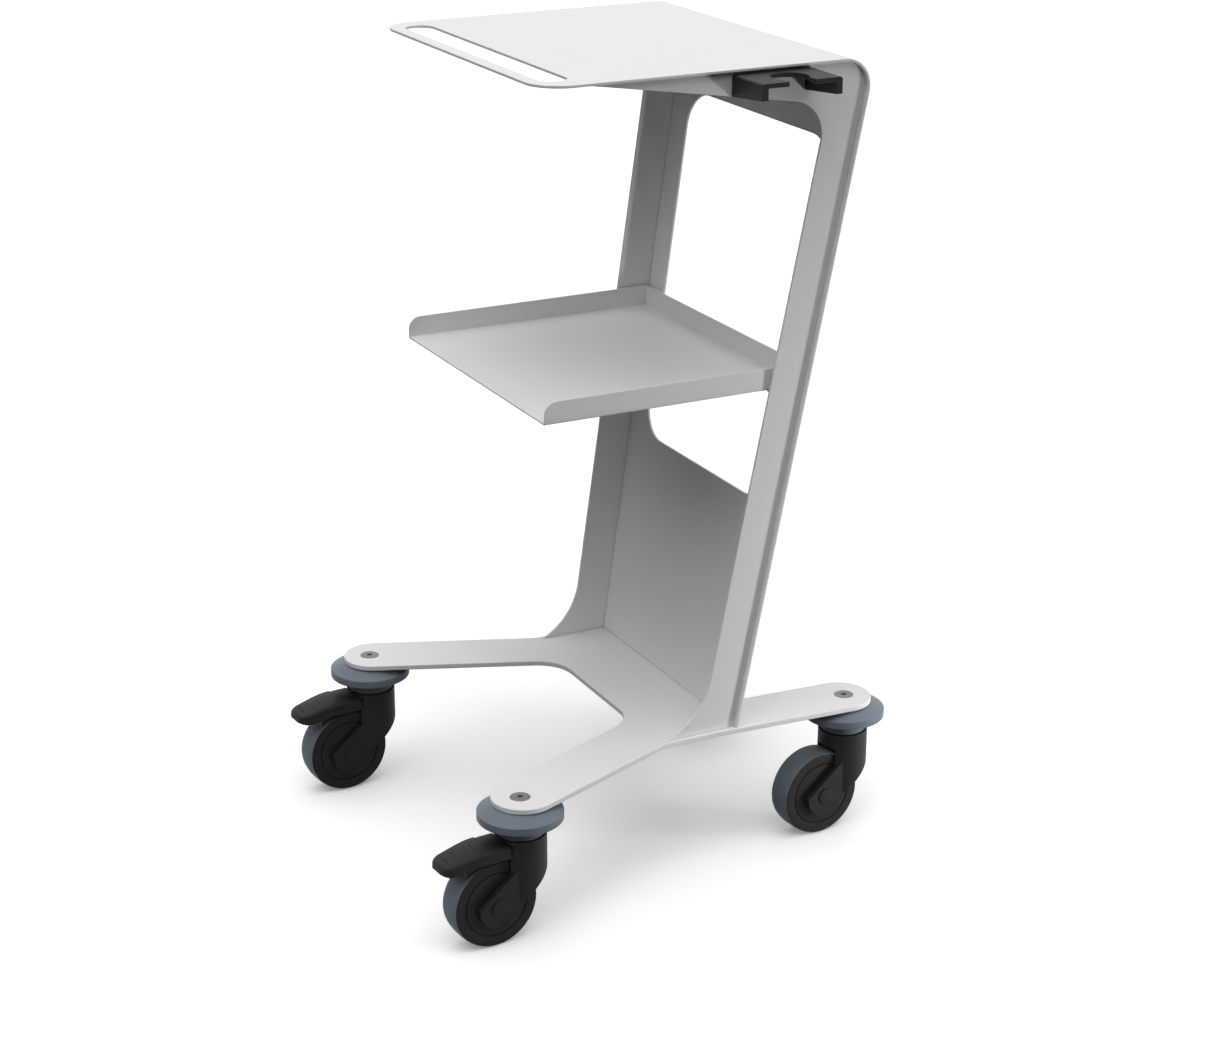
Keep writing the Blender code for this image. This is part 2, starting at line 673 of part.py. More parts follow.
def fork(name, swivel, black, braked):
    """A round crown whose two arms fall forward to the axle, hollowed for the wheel."""
    crown = [(0, 0), (CROWN_R, 0), (CROWN_R, CROWN_TOP_Z), (0, CROWN_TOP_Z)]
    body = place(f"{name}_fork", turned(crown, SEGMENTS["large"]), black, swivel)

    axle = Vector((TRAIL, WHEEL_R))
    along = Vector((math.cos(ARM_FALL), -math.sin(ARM_FALL)))
    across = Vector((-along.y, along.x))
    tip = math.sqrt(ARM_END_R ** 2 - ARM_HALF_WIDTH ** 2)
    top_corner = axle + across * ARM_HALF_WIDTH + along * tip
    back = axle - along * (CROWN_R + ARM_HALF_WIDTH)
    end = arc(axle, ARM_END_R, angle_of(top_corner - axle), angle_of(-across))
    outline = [tuple(back + across * ARM_HALF_WIDTH), *end, tuple(back - across * ARM_END_R)]
    arms = along_x(ahead(outline), -ARM_OUT, ARM_OUT)
    combine(body, cutter(f"{name}_arms", arms, swivel), "UNION")

    reach = 4 * CROWN_R
    edge = axle - across * ARM_HALF_WIDTH
    far = edge + along * reach
    rear = -CROWN_R - REAR_ROUND_OUT
    corner = meet(edge, -ARM_FALL, (rear, 0), math.pi / 2)
    outline = rounded([
        (far.x, far.y, 0),
        (*corner, REAR_ROUND_R),
        (rear, corner[1] + REAR_ROUND_R, 0),
        (-reach, corner[1] + REAR_ROUND_R, 0),
        (-reach, far.y, 0),
    ])
    undercut = along_x(ahead(outline), -2 * CROWN_R, 2 * CROWN_R)
    combine(body, cutter(f"{name}_undercut", undercut, swivel))

    at_axle = (0, -TRAIL, WHEEL_R)
    well = drilled(WELL_R, -WELL_HALF, WELL_HALF, "large")
    combine(body, cutter(f"{name}_well", well, swivel, at_axle))
    bore = drilled(AXLE_R + GAP, -CROWN_R, CROWN_R)
    combine(body, cutter(f"{name}_axle_bore", bore, swivel, at_axle))

    head, stem, seat = STEM_HEAD_R + GAP, STEM_R + GAP, STEM_HEAD_Z[1] + GAP
    above = CROWN_TOP_Z + PAST
    profile = [(0, WHEEL_R), (head, WHEEL_R), (head, seat), (stem, seat), (stem, above), (0, above)]
    bore = turned(profile, SEGMENTS["small"])
    combine(body, cutter(f"{name}_stem_bore", bore, swivel))
    if not braked:
        return
    back, low = PIN[0] - HUB_R - POCKET_PLAY, PIN[1] - HUB_R - POCKET_PLAY
    front = back + CROWN_R
    outline = [(back, low), (front, low), (front, above), (back, above)]
    half = TONGUE_HALF + POCKET_PLAY
    combine(body, cutter(f"{name}_pocket", along_x(ahead(outline), -half, half), swivel))
    bore = drilled(PIN_R + GAP, -CROWN_R, CROWN_R)
    combine(body, cutter(f"{name}_pin_bore", bore, swivel, (0, -PIN[0], PIN[1])))


def wheel(name, swivel, materials):
    """A black centre between flanges, a tread band seated on its rim, a bush and the axle."""
    spin = empty(f"{name}_wheel_axis", (0, -TRAIL, WHEEL_R), swivel)
    side, inside = WHEEL_HALF, WHEEL_HALF - FLANGE_T
    bore = BUSH_R + GAP
    half = [
        (bore, side),
        (GROOVE_R - GROOVE, side),
        (GROOVE_R, side - 2 * GROOVE),
        (GROOVE_R + GROOVE, side),
        (FLANGE_R, side),
        (FLANGE_R, inside),
        (RIM_R, inside),
    ]
    profile = half + [(r, -k) for r, k in reversed(half)]
    place(f"{name}_wheel_centre", turned(profile, SEGMENTS["wheel"], "X"), materials["black"], spin)

    band = inside - GAP
    half = [
        (RIM_R + GAP, band),
        (FLANGE_R + GAP, band),
        (FLANGE_R + GAP, TREAD_HALF),
        (TREAD_EDGE_R - TREAD_CROWN, TREAD_HALF),
        (TREAD_EDGE_R, TREAD_HALF * TREAD_FLAT),
    ]
    profile = half + [(r, -k) for r, k in reversed(half)]
    place(f"{name}_tread", turned(profile, SEGMENTS["wheel"], "X"), materials["grey"], spin)

    sleeve = WELL_HALF - GAP
    hole = AXLE_R + GAP
    profile = [(hole, -sleeve), (hole, sleeve), (BUSH_R, sleeve), (BUSH_R, -sleeve)]
    place(f"{name}_wheel_bush", turned(profile, SEGMENTS["tiny"], "X"), materials["steel"], spin)

    seat = ARM_OUT + GAP
    out = seat + AXLE_CAP_T
    half = [(0, out), (AXLE_CAP_R, out), (AXLE_CAP_R, seat), (AXLE_R, seat)]
    profile = half + [(r, -k) for r, k in reversed(half)]
    axle = turned(profile, SEGMENTS["small"], "X")
    place(f"{name}_axle", axle, materials["black"], swivel, (0, -TRAIL, WHEEL_R))


def pedal_side():
    """A pedal's side view in (distance ahead, z): a level top, a bow and a blunt nose."""
    slope_at = (PEDAL_BOW_AT, PEDAL_TOP_Z)
    nose = meet(slope_at, -PEDAL_SLOPE, (PEDAL_REACH, 0), math.pi / 2)
    return rounded([
        (PIN[0], PEDAL_TOP_Z, 0),
        (*slope_at, PEDAL_BOW_R),
        (*nose, PEDAL_NOSE_R),
        (PEDAL_REACH, PEDAL_LOW_Z, 0),
        (PIN[0], PEDAL_LOW_Z, 0),
    ], step=ARC_STEP / 2)


def roof_z(d):
    """The height of the roof inside the pedal, at a distance ahead."""
    radius = PEDAL_BOW_R - PEDAL_WALL
    return PEDAL_TOP_Z - PEDAL_BOW_R + math.sqrt(radius ** 2 - max(0, d - BOW_START) ** 2)


def brake(name, swivel, materials):
    """A foot pedal on a pin through the crown, with a brake shoe under it."""
    pivot = empty(f"{name}_pedal_axis", (0, -PIN[0], PIN[1]), swivel)
    back = (0, PIN[0], -PIN[1])
    side = along_x(ahead(pedal_side()), -PEDAL_HALF - PAST, PEDAL_HALF + PAST)
    pedal = place(f"{name}_brake_pedal", side, materials["black"], pivot, back)

    spread = math.asin(PEDAL_HALF / PEDAL_BACK_R)
    heel_arc = arc((0, 0), PEDAL_BACK_R, -math.pi / 2 - spread, spread - math.pi / 2)
    plan = rounded([
        *((x, y, 0) for x, y in heel_arc),
        (PEDAL_HALF, -PEDAL_TAPER_FROM, 0),
        (PEDAL_TIP_HALF, -PLAN_REACH, PEDAL_TIP_R),
        (-PEDAL_TIP_HALF, -PLAN_REACH, PEDAL_TIP_R),
        (-PEDAL_HALF, -PEDAL_TAPER_FROM, 0),
    ])
    tool = along_z(plan, PEDAL_LOW_Z - PAST, PEDAL_TOP_Z + PAST)
    combine(pedal, cutter(f"{name}_pedal_plan", tool, pivot, back), "INTERSECT")

    heel = PEDAL_BACK_R + PEDAL_WALL
    low = PEDAL_LOW_Z - PAST
    step = (PEDAL_ROOM_END - heel) / ROOF_STEPS
    roof = [(heel + step * i, roof_z(heel + step * i)) for i in range(ROOF_STEPS + 1)]
    room = [(heel, low), *roof, (PEDAL_ROOM_END, low)]
    hollow = along_x(ahead(room), -PEDAL_ROOM_HALF, PEDAL_ROOM_HALF)
    combine(pedal, cutter(f"{name}_pedal_hollow", hollow, pivot, back))

    hub = arc(PIN, HUB_R, math.pi / 3, 2 * math.pi - math.pi / 3)
    root_d = PEDAL_BACK_R + PEDAL_WALL / 2
    outline = hub + [(root_d, PIN[1] - HUB_R + PEDAL_WALL / 2), (root_d, PEDAL_TOP_Z - PEDAL_WALL / 4)]
    tongue = along_x(ahead(outline), -TONGUE_HALF, TONGUE_HALF)
    combine(pedal, cutter(f"{name}_tongue", tongue, pivot, back), "UNION")
    combine(pedal, cutter(f"{name}_hub_bore", drilled(PIN_R + GAP, -CROWN_R, CROWN_R), pivot))

    pin = drilled(PIN_R, -PIN_HALF, PIN_HALF)
    place(f"{name}_pedal_pin", pin, materials["steel"], swivel, (0, -PIN[0], PIN[1]))

    rub_r = TREAD_EDGE_R + SHOE_PLAY
    first, last = (math.acos((d - TRAIL) / rub_r) for d in SHOE_SPAN)
    outline = arc((TRAIL, WHEEL_R), rub_r, first, last, ARC_STEP / 2)
    outline += [(d, roof_z(d) - SHOE_SEAT) for d in reversed(SHOE_SPAN)]
    shoe = along_x(ahead(outline), -SHOE_HALF, SHOE_HALF)
    place(f"{name}_brake_shoe", shoe, materials["black"], pivot, back)


def main():
    for obj in list(bpy.data.objects):
        bpy.data.objects.remove(obj, do_unlink=True)
    paint = finish("powder_coat", (0.80, 0.80, 0.79), 0.45)
    shelf_paint = finish("shelf_powder_coat", (0.62, 0.62, 0.60), 0.45)
    materials = {
        "black": finish("black_plastic", (0.020, 0.020, 0.021), 0.40),
        "grey": finish("grey_rubber", (0.14, 0.17, 0.21), 0.50),
        "steel": finish("steel", (0.36, 0.35, 0.33), 0.35, 1.0),
    }
    root = empty("trolley", (-FOOTPRINT_X, -FOOTPRINT_Y, 0))
    bores = screw_bores(root)
    bent_sheet(root, paint)
    side_plates(root, paint, bores)
    base_plate(root, paint)
    shelf_tray(root, shelf_paint)
    shelf_pegs(root, materials["steel"])
    probe_holder(root, materials["black"], materials["steel"], bores)
    for name, (x, y) in caster_places().items():
        caster_mount(name, root, x, y, materials)
        swivel = empty(f"{name}_swivel_axis", (x, y, 0), root, CASTER_TURN)
        braked = name.startswith("front")
        fork(name, swivel, materials["black"], braked)
        wheel(name, swivel, materials)
        if braked:
            brake(name, swivel, materials)


main()
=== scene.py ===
# %% [markdown]
# # A medical equipment trolley
# The real trolley is powder-coated sheet steel on four casters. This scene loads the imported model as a
# fixed frame, makes each visible piece again with fine arcs and softened edges, and gives it a finish.
# Every length is in metres, +Z is up, and the open front faces -Y.

# %% Load the frame
import json
import math

import bmesh
import bpy
from mathutils import Matrix, Vector


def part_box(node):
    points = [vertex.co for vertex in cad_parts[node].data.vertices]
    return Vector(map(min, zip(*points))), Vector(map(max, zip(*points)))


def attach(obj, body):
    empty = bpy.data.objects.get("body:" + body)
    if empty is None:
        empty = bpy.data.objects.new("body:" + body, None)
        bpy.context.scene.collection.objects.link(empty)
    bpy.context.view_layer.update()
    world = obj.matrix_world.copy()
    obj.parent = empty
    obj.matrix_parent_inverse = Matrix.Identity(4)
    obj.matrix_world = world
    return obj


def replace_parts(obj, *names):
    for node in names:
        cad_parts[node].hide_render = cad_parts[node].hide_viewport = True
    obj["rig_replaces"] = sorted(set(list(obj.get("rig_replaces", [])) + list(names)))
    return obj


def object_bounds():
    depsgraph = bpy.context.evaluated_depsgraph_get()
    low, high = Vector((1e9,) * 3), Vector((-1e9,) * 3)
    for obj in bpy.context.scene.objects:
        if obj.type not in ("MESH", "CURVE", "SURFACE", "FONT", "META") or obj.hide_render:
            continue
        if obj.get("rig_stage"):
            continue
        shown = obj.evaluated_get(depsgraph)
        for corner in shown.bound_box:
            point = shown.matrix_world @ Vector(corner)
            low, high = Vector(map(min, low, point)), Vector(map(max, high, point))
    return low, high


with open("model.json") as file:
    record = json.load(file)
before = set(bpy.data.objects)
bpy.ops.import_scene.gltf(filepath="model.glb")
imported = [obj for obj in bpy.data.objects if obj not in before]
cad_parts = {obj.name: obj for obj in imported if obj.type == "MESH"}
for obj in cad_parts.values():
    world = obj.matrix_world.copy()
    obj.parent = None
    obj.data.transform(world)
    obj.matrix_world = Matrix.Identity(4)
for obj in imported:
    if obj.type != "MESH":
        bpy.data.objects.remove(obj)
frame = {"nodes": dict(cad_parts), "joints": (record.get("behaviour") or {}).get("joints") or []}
cad_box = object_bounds()
joints = {joint["name"]: joint for joint in frame["joints"]}
CORNERS = ("front_left", "front_right", "rear_left", "rear_right")

# %% [markdown]
# The sheet metal is drawn round the trolley's plane of symmetry, with y = 0 halfway between the front
# and rear swivel axes. The frame says where that is, so nothing has to be fitted by eye. Each caster is
# drawn round its own swivel axis and then turned as far as its wheel axis is turned.

# %% Find the drawing's origin and the casters in the frame
base_low, base_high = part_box("base_plate")
swivels = {corner: Vector(joints[f"{corner}_swivel"]["pos_m"]) for corner in CORNERS}
middle_y = (swivels["front_right"].y + swivels["rear_right"].y) / 2
ORIGIN = Vector(((base_low.x + base_high.x) / 2, middle_y, 0))
wheel_axis = joints["front_right_wheel_spin"]["axis"]
CASTER_TURN = math.atan2(wheel_axis[1], wheel_axis[0])
print("origin", tuple(round(v, 4) for v in ORIGIN), "casters turned", round(math.degrees(CASTER_TURN), 2))

# %% [markdown]
# Most pieces start as an outline with rounded corners. Three small helpers make one: an arc as a list of
# points, a closed outline whose corners each carry a radius, and the point where two lines cross. Steps
# of four degrees are too fine to see, also up close, and very small radii do with wider ones.

# %% Outline helpers
ARC_STEP = math.radians(4)
SMALL_ARC_STEP = 3 * ARC_STEP
TINY_ARC_STEP = 5 * ARC_STEP
SAME_POINT = 1e-7


def arc(centre, radius, start, end, step=ARC_STEP):
    """Points from one angle to another, both ends included."""
    count = max(2, math.ceil(abs(end - start) / step))
    angles = (start + (end - start) * i / count for i in range(count + 1))
    return [(centre[0] + radius * math.cos(a), centre[1] + radius * math.sin(a)) for a in angles]


def rounded(corners, step=ARC_STEP):
    """A closed outline from corners (a, b, radius)."""
    points = []
    count = len(corners)
    for i, (a, b, radius) in enumerate(corners):
        corner = Vector((a, b))
        before = (Vector(corners[i - 1][:2]) - corner).normalized()
        after = (Vector(corners[(i + 1) % count][:2]) - corner).normalized()
        if not radius:
            points.append(tuple(corner))
            continue
        opening = before.angle(after)
        centre = corner + (before + after).normalized() * radius / math.sin(opening / 2)
        reach = radius / math.tan(opening / 2)
        first = corner + before * reach - centre
        last = corner + after * reach - centre
        start = math.atan2(first.y, first.x)
        turn = math.atan2(first.x * last.y - first.y * last.x, first.dot(last))
        points += arc(centre, radius, start, start + turn, step)
    return [p for i, p in enumerate(points) if math.dist(p, points[i - 1]) > SAME_POINT]


def meet(p, p_angle, q, q_angle):
    """Where two lines cross, each given by a point and its direction's angle."""
    u = (math.cos(p_angle), math.sin(p_angle))
    v = (math.cos(q_angle), math.sin(q_angle))
    along = ((q[0] - p[0]) * v[1] - (q[1] - p[1]) * v[0]) / (u[0] * v[1] - u[1] * v[0])
    return (p[0] + along * u[0], p[1] + along * u[1])


print("a full circle has", len(arc((0, 0), 1, 0, 2 * math.pi)) - 1, "steps")

# %% [markdown]
# An outline becomes a solid in one of three ways. A loft joins loops, and two equal ones give a prism. A
# turned piece spins its profile about an axis, like work on a lathe. A blank fills an outline and its
# holes with a flat mesh, which is later given a thickness, as sheet metal is.

# %% Solids from outlines
FLAT_ANGLE = math.radians(0.5)


def loft(*loops):
    """A closed solid through loops of the same number of points."""
    bm = bmesh.new()
    rings = [[bm.verts.new(p) for p in loop] for loop in loops]
    bm.faces.new(rings[0])
    bm.faces.new(rings[-1])
    for low, high in zip(rings, rings[1:]):
        for i in range(len(low)):
            bm.faces.new((low[i - 1], low[i], high[i], high[i - 1]))
    return bm


def along_x(outline, low, high):
    return loft([(low, a, b) for a, b in outline], [(high, a, b) for a, b in outline])


def along_z(outline, low, high):
    return loft([(a, b, low) for a, b in outline], [(a, b, high) for a, b in outline])


def turned(profile, axis="Z", segments=96, closed=False):
    """A profile of (radius, height) spun about Z or X. A closed profile makes a ring."""
    bm = bmesh.new()
    verts = [bm.verts.new((r, 0, h) if axis == "Z" else (h, 0, r)) for r, h in profile]
    edges = [bm.edges.new((verts[i - 1], verts[i])) for i in range(0 if closed else 1, len(verts))]
    direction = (0, 0, 1) if axis == "Z" else (1, 0, 0)
    bmesh.ops.spin(
        bm, geom=verts + edges, cent=(0, 0, 0), axis=direction, angle=2 * math.pi, steps=segments,
        use_merge=True,
    )
    bmesh.ops.remove_doubles(bm, verts=bm.verts, dist=SAME_POINT)
    bmesh.ops.dissolve_degenerate(bm, dist=SAME_POINT, edges=bm.edges)
    return bm


def blank(outline, holes=()):
    """A flat mesh that fills an outline, less its holes."""
    bm = bmesh.new()
    edges = []
    for loop in (outline, *holes):
        verts = [bm.verts.new((a, b, 0)) for a, b in loop]
        edges += [bm.edges.new((verts[i - 1], verts[i])) for i in range(len(verts))]
    bmesh.ops.triangle_fill(bm, use_beauty=True, edges=edges, normal=(0, 0, 1))
    return bm


def merge_flat(bm):
    """Joins faces that lie in one plane, so that no sliver is left where an edge is softened."""
    bmesh.ops.dissolve_limit(bm, angle_limit=FLAT_ANGLE, verts=[], edges=bm.edges)


# %% [markdown]
# A piece has a name, a mesh, a material, the body that it moves with and the solids that it stands for.
# One function does that for all of them, so none is left behind when a joint turns. Softened edges come
# from a Bevel modifier, because no real edge is perfectly sharp, and a narrow round edge catches the
# light. Its hardened normals keep the flat faces looking flat.

# %% Make a piece and soften its edges
EDGE_ANGLE = math.radians(32)
pieces = {}


def piece(name, bm, material, body, nodes, location=ORIGIN, rotation=(0, 0, 0)):
    """An object that rides on a body and replaces CAD nodes."""
    bmesh.ops.recalc_face_normals(bm, faces=bm.faces)
    mesh = bpy.data.meshes.new(name)
    bm.to_mesh(mesh)
    bm.free()
    mesh.shade_smooth()
    mesh.set_sharp_from_angle(angle=EDGE_ANGLE)
    mesh.materials.append(material)
    obj = bpy.data.objects.new(name, mesh)
    bpy.context.scene.collection.objects.link(obj)
    obj.location = location
    obj.rotation_euler = rotation
    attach(obj, body)
    if nodes:
        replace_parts(obj, *nodes)
    pieces[name] = obj
    return obj


def soften(obj, width, segments=3):
    bevel = obj.modifiers.new("soft edges", "BEVEL")
    bevel.width = width
    bevel.segments = segments
    bevel.limit_method = "ANGLE"
    bevel.angle_limit = EDGE_ANGLE
    bevel.use_clamp_overlap = False
    bevel.harden_normals = True
    return obj


def thicken(obj, thickness, outwards):
    """Gives a skin its thickness. The largest face tells which way the skin has to look."""
    largest = max(obj.data.polygons, key=lambda face: face.area)
    if largest.normal.dot(Vector(outwards)) < 0:
        obj.data.flip_normals()
    solidify = obj.modifiers.new("sheet", "SOLIDIFY")
    solidify.thickness = thickness
    solidify.offset = -1
    solidify.use_even_offset = True
    return obj


def cut(obj, bm, operation="DIFFERENCE"):
    """Cuts, joins or intersects with a helper solid, and applies it at once."""
    bmesh.ops.recalc_face_normals(bm, faces=bm.faces)
    mesh = bpy.data.meshes.new("tool")
    bm.to_mesh(mesh)
    bm.free()
    tool = bpy.data.objects.new("tool", mesh)
    bpy.context.scene.collection.objects.link(tool)
    tool.matrix_world = obj.matrix_world.copy()
    boolean = obj.modifiers.new("cut", "BOOLEAN")
    boolean.operation = operation
    boolean.object = tool
    bpy.context.view_layer.update()
    result = bpy.data.meshes.new_from_object(obj.evaluated_get(bpy.context.evaluated_depsgraph_get()))
    obj.modifiers.remove(boolean)
    old = obj.data
    obj.data = result
    bpy.data.meshes.remove(old)
    bpy.data.objects.remove(tool)
    result.shade_smooth()
    result.set_sharp_from_angle(angle=EDGE_ANGLE)
    return obj


# %% [markdown]
# Materials are built from nodes. Written out by hand, a node tree is long, so this class wraps one
# socket: arithmetic on it adds Math nodes, and one method adds any other node from its type, its
# settings and its sockets.

# %% The shader helper
class Wire:
    """One socket of a shader tree."""

    def __init__(self, tree, socket=None):
        self.tree = tree
        self.socket = socket

    def node(self, kind, settings=None, sockets=None, out=0):
        """Adds a node. Its settings come first, then the values or links of its sockets."""
        made = self.tree.nodes.new(kind)
        for name, value in (settings or {}).items():
            if name == "stops":
                for element, (position, colour) in zip(made.color_ramp.elements, value):
                    element.position = position
                    element.color = colour
            else:
                setattr(made, name, value)
        for name, value in (sockets or {}).items():
            if isinstance(value, Wire):
                self.tree.links.new(value.socket, made.inputs[name])
            else:
                made.inputs[name].default_value = value
        return Wire(self.tree, made.outputs[out])

    def output(self, name):
        """Another output of the same node."""
        return Wire(self.tree, self.socket.node.outputs[name])

    def math(self, operation, a, b):
        return self.node("ShaderNodeMath", {"operation": operation}, {0: a, 1: b})

    def __add__(self, other):
        return self.math("ADD", self, other)

    def __sub__(self, other):
        return self.math("SUBTRACT", self, other)

    def __rsub__(self, other):
        return self.math("SUBTRACT", other, self)

    def __mul__(self, other):
        return self.math("MULTIPLY", self, other)

    __radd__ = __add__
    __rmul__ = __mul__


# %% [markdown]
# All finishes share one recipe. A fine noise is the grain of the surface, a broad one the slow change
# that no real surface is without. The grain drives a Bump node, the broad noise shifts the roughness
# and, very slightly, the colour. What stays the same all over is set on the shader's own sockets.

# %% The shared recipe of a finish
BROAD_SCALE = 9.0
FINE_DETAIL, BROAD_DETAIL = 2.0, 3.0


def finish(slot, colour, roughness, grain, depth, spread=0.05, shift=0.03, metallic=0.0, specular=0.5):
    """A Principled material: grain is the size of a bump, depth its height, spread the roughness range."""
    material = bpy.data.materials.new(slot)
    material.use_nodes = True
    material["slot"] = slot
    material.diffuse_color = (*colour, 1)
    tree = material.node_tree
    shader = tree.nodes["Principled BSDF"]
    shader.inputs["Metallic"].default_value = metallic
    shader.inputs["Specular IOR Level"].default_value = specular
    wire = Wire(tree)
    place = wire.node("ShaderNodeTexCoord", out="Object")
    sockets = {"Vector": place, "Scale": 1 / grain, "Detail": FINE_DETAIL}
    fine = wire.node("ShaderNodeTexNoise", None, sockets)
    sockets = {"Vector": place, "Scale": BROAD_SCALE, "Detail": BROAD_DETAIL}
    broad = wire.node("ShaderNodeTexNoise", None, sockets)
    rough = roughness + (broad - 0.5) * spread + (fine - 0.5) * spread
    tree.links.new(rough.socket, shader.inputs["Roughness"])
    darker = tuple(c * (1 - shift) for c in colour)
    lighter = tuple(c * (1 + shift) for c in colour)
    sockets = {0: broad, 6: (*darker, 1), 7: (*lighter, 1)}
    tint = wire.node("ShaderNodeMix", {"data_type": "RGBA"}, sockets, out=2)
    tree.links.new(tint.socket, shader.inputs["Base Color"])
    bump = wire.node("ShaderNodeBump", None, {"Height": fine, "Distance": depth, "Strength": 1.0}, "Normal")
    tree.links.new(bump.socket, shader.inputs["Normal"])
    return material


# %% [markdown]
# The body is powder coat: resin baked on as a film whose surface has a shallow orange peel about a
# millimetre across. The shelf is the same finish, a touch warmer. The casters are moulded nylon and
# non-marking rubber, with a finer and deeper grain, and the bolts are zinc-plated steel.

# %% The finishes
PAINT = {"roughness": 0.52, "grain": 0.0011, "depth": 0.000012, "shift": 0.008, "specular": 0.06}
powder_coat = finish("powder_coat", (0.79, 0.79, 0.79), **PAINT)
shelf_coat = finish("shelf_powder_coat", (0.78, 0.78, 0.762), **PAINT)
black_nylon = finish(
    "black_plastic", (0.016, 0.016, 0.0162), roughness=0.48, grain=0.0006, depth=0.00003, shift=0.08,
    specular=0.12,
)
grey_nylon = finish(
    "grey_plastic", (0.150, 0.184, 0.222), roughness=0.46, grain=0.0007, depth=0.00002, specular=0.15,
)
grey_rubber = finish(
    "grey_rubber", (0.130, 0.160, 0.195), roughness=0.60, grain=0.0005, depth=0.00003, shift=0.05,
    specular=0.25,
)
zinc = finish(
    "steel", (0.17, 0.17, 0.163), roughness=0.42, grain=0.0008, depth=0.00001, metallic=1.0,
)
print("finishes:", [m.name for m in bpy.data.materials])

# %% [markdown]
# ## The bent sheet
# Top, rear bend and leaning back are one sheet. It could be a section pushed along X with its openings
# cut out, but a Boolean leaves uneven faces in the bend. Here it is made as in the workshop: a flat
# blank with its slot and window, creased across the bend and folded. These are its sizes.

# %% Sizes of the bent sheet
top_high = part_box("top_and_back_sheet")[1]
TOP_Z = top_high.z
BASE_Z = base_high.z
SHEET = 0.003
GAP = 0.0003
TOP_HALF = 0.205
FOOT_HALF = 0.1676
TOP_FRONT_Y = -0.1883
TOP_CORNER_R = 0.038
BEND_R = 0.032
BACK_LEAN = math.radians(9.66)
BACK_FOOT_Y = 0.0684
SLOT_Y = -0.1571
SLOT_HALF_WIDTH = 0.016
SLOT_HALF = 0.179
WINDOW_TOP_Z = 0.8154
WINDOW_LOW_Z = 0.4138
WINDOW_MARGIN = 0.0443
WINDOW_R = 0.040
SHEET_EDGE = 0.0007

TAPER = (TOP_HALF - FOOT_HALF) / (TOP_Z - BASE_Z)
FOOT_Z = BASE_Z + GAP
BEND_Z = TOP_Z - BEND_R


def half_width(z):
    return FOOT_HALF + TAPER * (z - BASE_Z)


def back_y(z):
    """The outer face of the back."""
    return BACK_FOOT_Y + (z - BASE_Z) * math.tan(BACK_LEAN)


def back_inner_y(z):
    return back_y(z) - SHEET / math.cos(BACK_LEAN)


BEND_Y = back_y(BEND_Z) - BEND_R / math.cos(BACK_LEAN)
print("the sheet narrows from", 2 * TOP_HALF, "to", 2 * FOOT_HALF)

# %% [markdown]
# A point of the blank is (x, v), where v runs from the front edge over the top, round the bend and down
# the back. The function bent() says where that point ends up.

# %% From blank to bend
TOP_LENGTH = BEND_Y - TOP_FRONT_Y
BEND_ANGLE = math.pi / 2 + BACK_LEAN
BEND_END = TOP_LENGTH + BEND_R * BEND_ANGLE
BEND_END_Z = BEND_Z - BEND_R * math.sin(BACK_LEAN)


def bent(v):
    """The (y, z) of the outer face at a length v from the front edge."""
    if v <= TOP_LENGTH:
        return TOP_FRONT_Y + v, TOP_Z
    if v <= BEND_END:
        angle = math.pi / 2 - (v - TOP_LENGTH) / BEND_R
        return BEND_Y + BEND_R * math.cos(angle), BEND_Z + BEND_R * math.sin(angle)
    z = BEND_END_Z - (v - BEND_END) * math.cos(BACK_LEAN)
    return back_y(z), z


def length_to(z):
    """The length v at a height of the back."""
    return BEND_END + (BEND_END_Z - z) / math.cos(BACK_LEAN)


BEND_STEPS = 24
creases = [TOP_LENGTH + BEND_R * BEND_ANGLE * i / BEND_STEPS for i in range(BEND_STEPS + 1)]
print("the blank is", round(length_to(FOOT_Z), 4), "long")

# %% [markdown]
# The blank's sides follow the taper, so they lean a little at every crease. Bisecting the mesh at the
# creases gives the bend its even rows of faces, and then each point moves to where bent() puts it.

# %% Cut, crease and fold the blank
CREASE_REACH = 1e-6
side = [(half_width(bent(v)[1]), v) for v in creases]
foot = length_to(FOOT_Z)
front_corner = arc((TOP_HALF - TOP_CORNER_R, TOP_CORNER_R), TOP_CORNER_R, -math.pi / 2, 0)
right = front_corner + side + [(half_width(FOOT_Z), foot)]
outline = right + [(-x, v) for x, v in reversed(right)]
slot_v = SLOT_Y - TOP_FRONT_Y
slot = rounded([
    (-SLOT_HALF, slot_v - SLOT_HALF_WIDTH, SLOT_HALF_WIDTH),
    (SLOT_HALF, slot_v - SLOT_HALF_WIDTH, SLOT_HALF_WIDTH),
    (SLOT_HALF, slot_v + SLOT_HALF_WIDTH, SLOT_HALF_WIDTH),
    (-SLOT_HALF, slot_v + SLOT_HALF_WIDTH, SLOT_HALF_WIDTH),
])
window_half = {z: half_width(z) - WINDOW_MARGIN for z in (WINDOW_TOP_Z, WINDOW_LOW_Z)}
window = rounded([
    (-window_half[WINDOW_TOP_Z], length_to(WINDOW_TOP_Z), WINDOW_R),
    (window_half[WINDOW_TOP_Z], length_to(WINDOW_TOP_Z), WINDOW_R),
    (window_half[WINDOW_LOW_Z], length_to(WINDOW_LOW_Z), WINDOW_R),
    (-window_half[WINDOW_LOW_Z], length_to(WINDOW_LOW_Z), WINDOW_R),
])
sheet = blank(outline, [slot, window])
for v in creases:
    geom = [*sheet.verts, *sheet.edges, *sheet.faces]
    bmesh.ops.bisect_plane(sheet, geom=geom, dist=CREASE_REACH, plane_co=(0, v, 0), plane_no=(0, 1, 0))
for vert in sheet.verts:
    vert.co = (vert.co.x, *bent(vert.co.y))
merge_flat(sheet)
bent_sheet = piece("bent_sheet", sheet, powder_coat, "frame", ["top_and_back_sheet"])
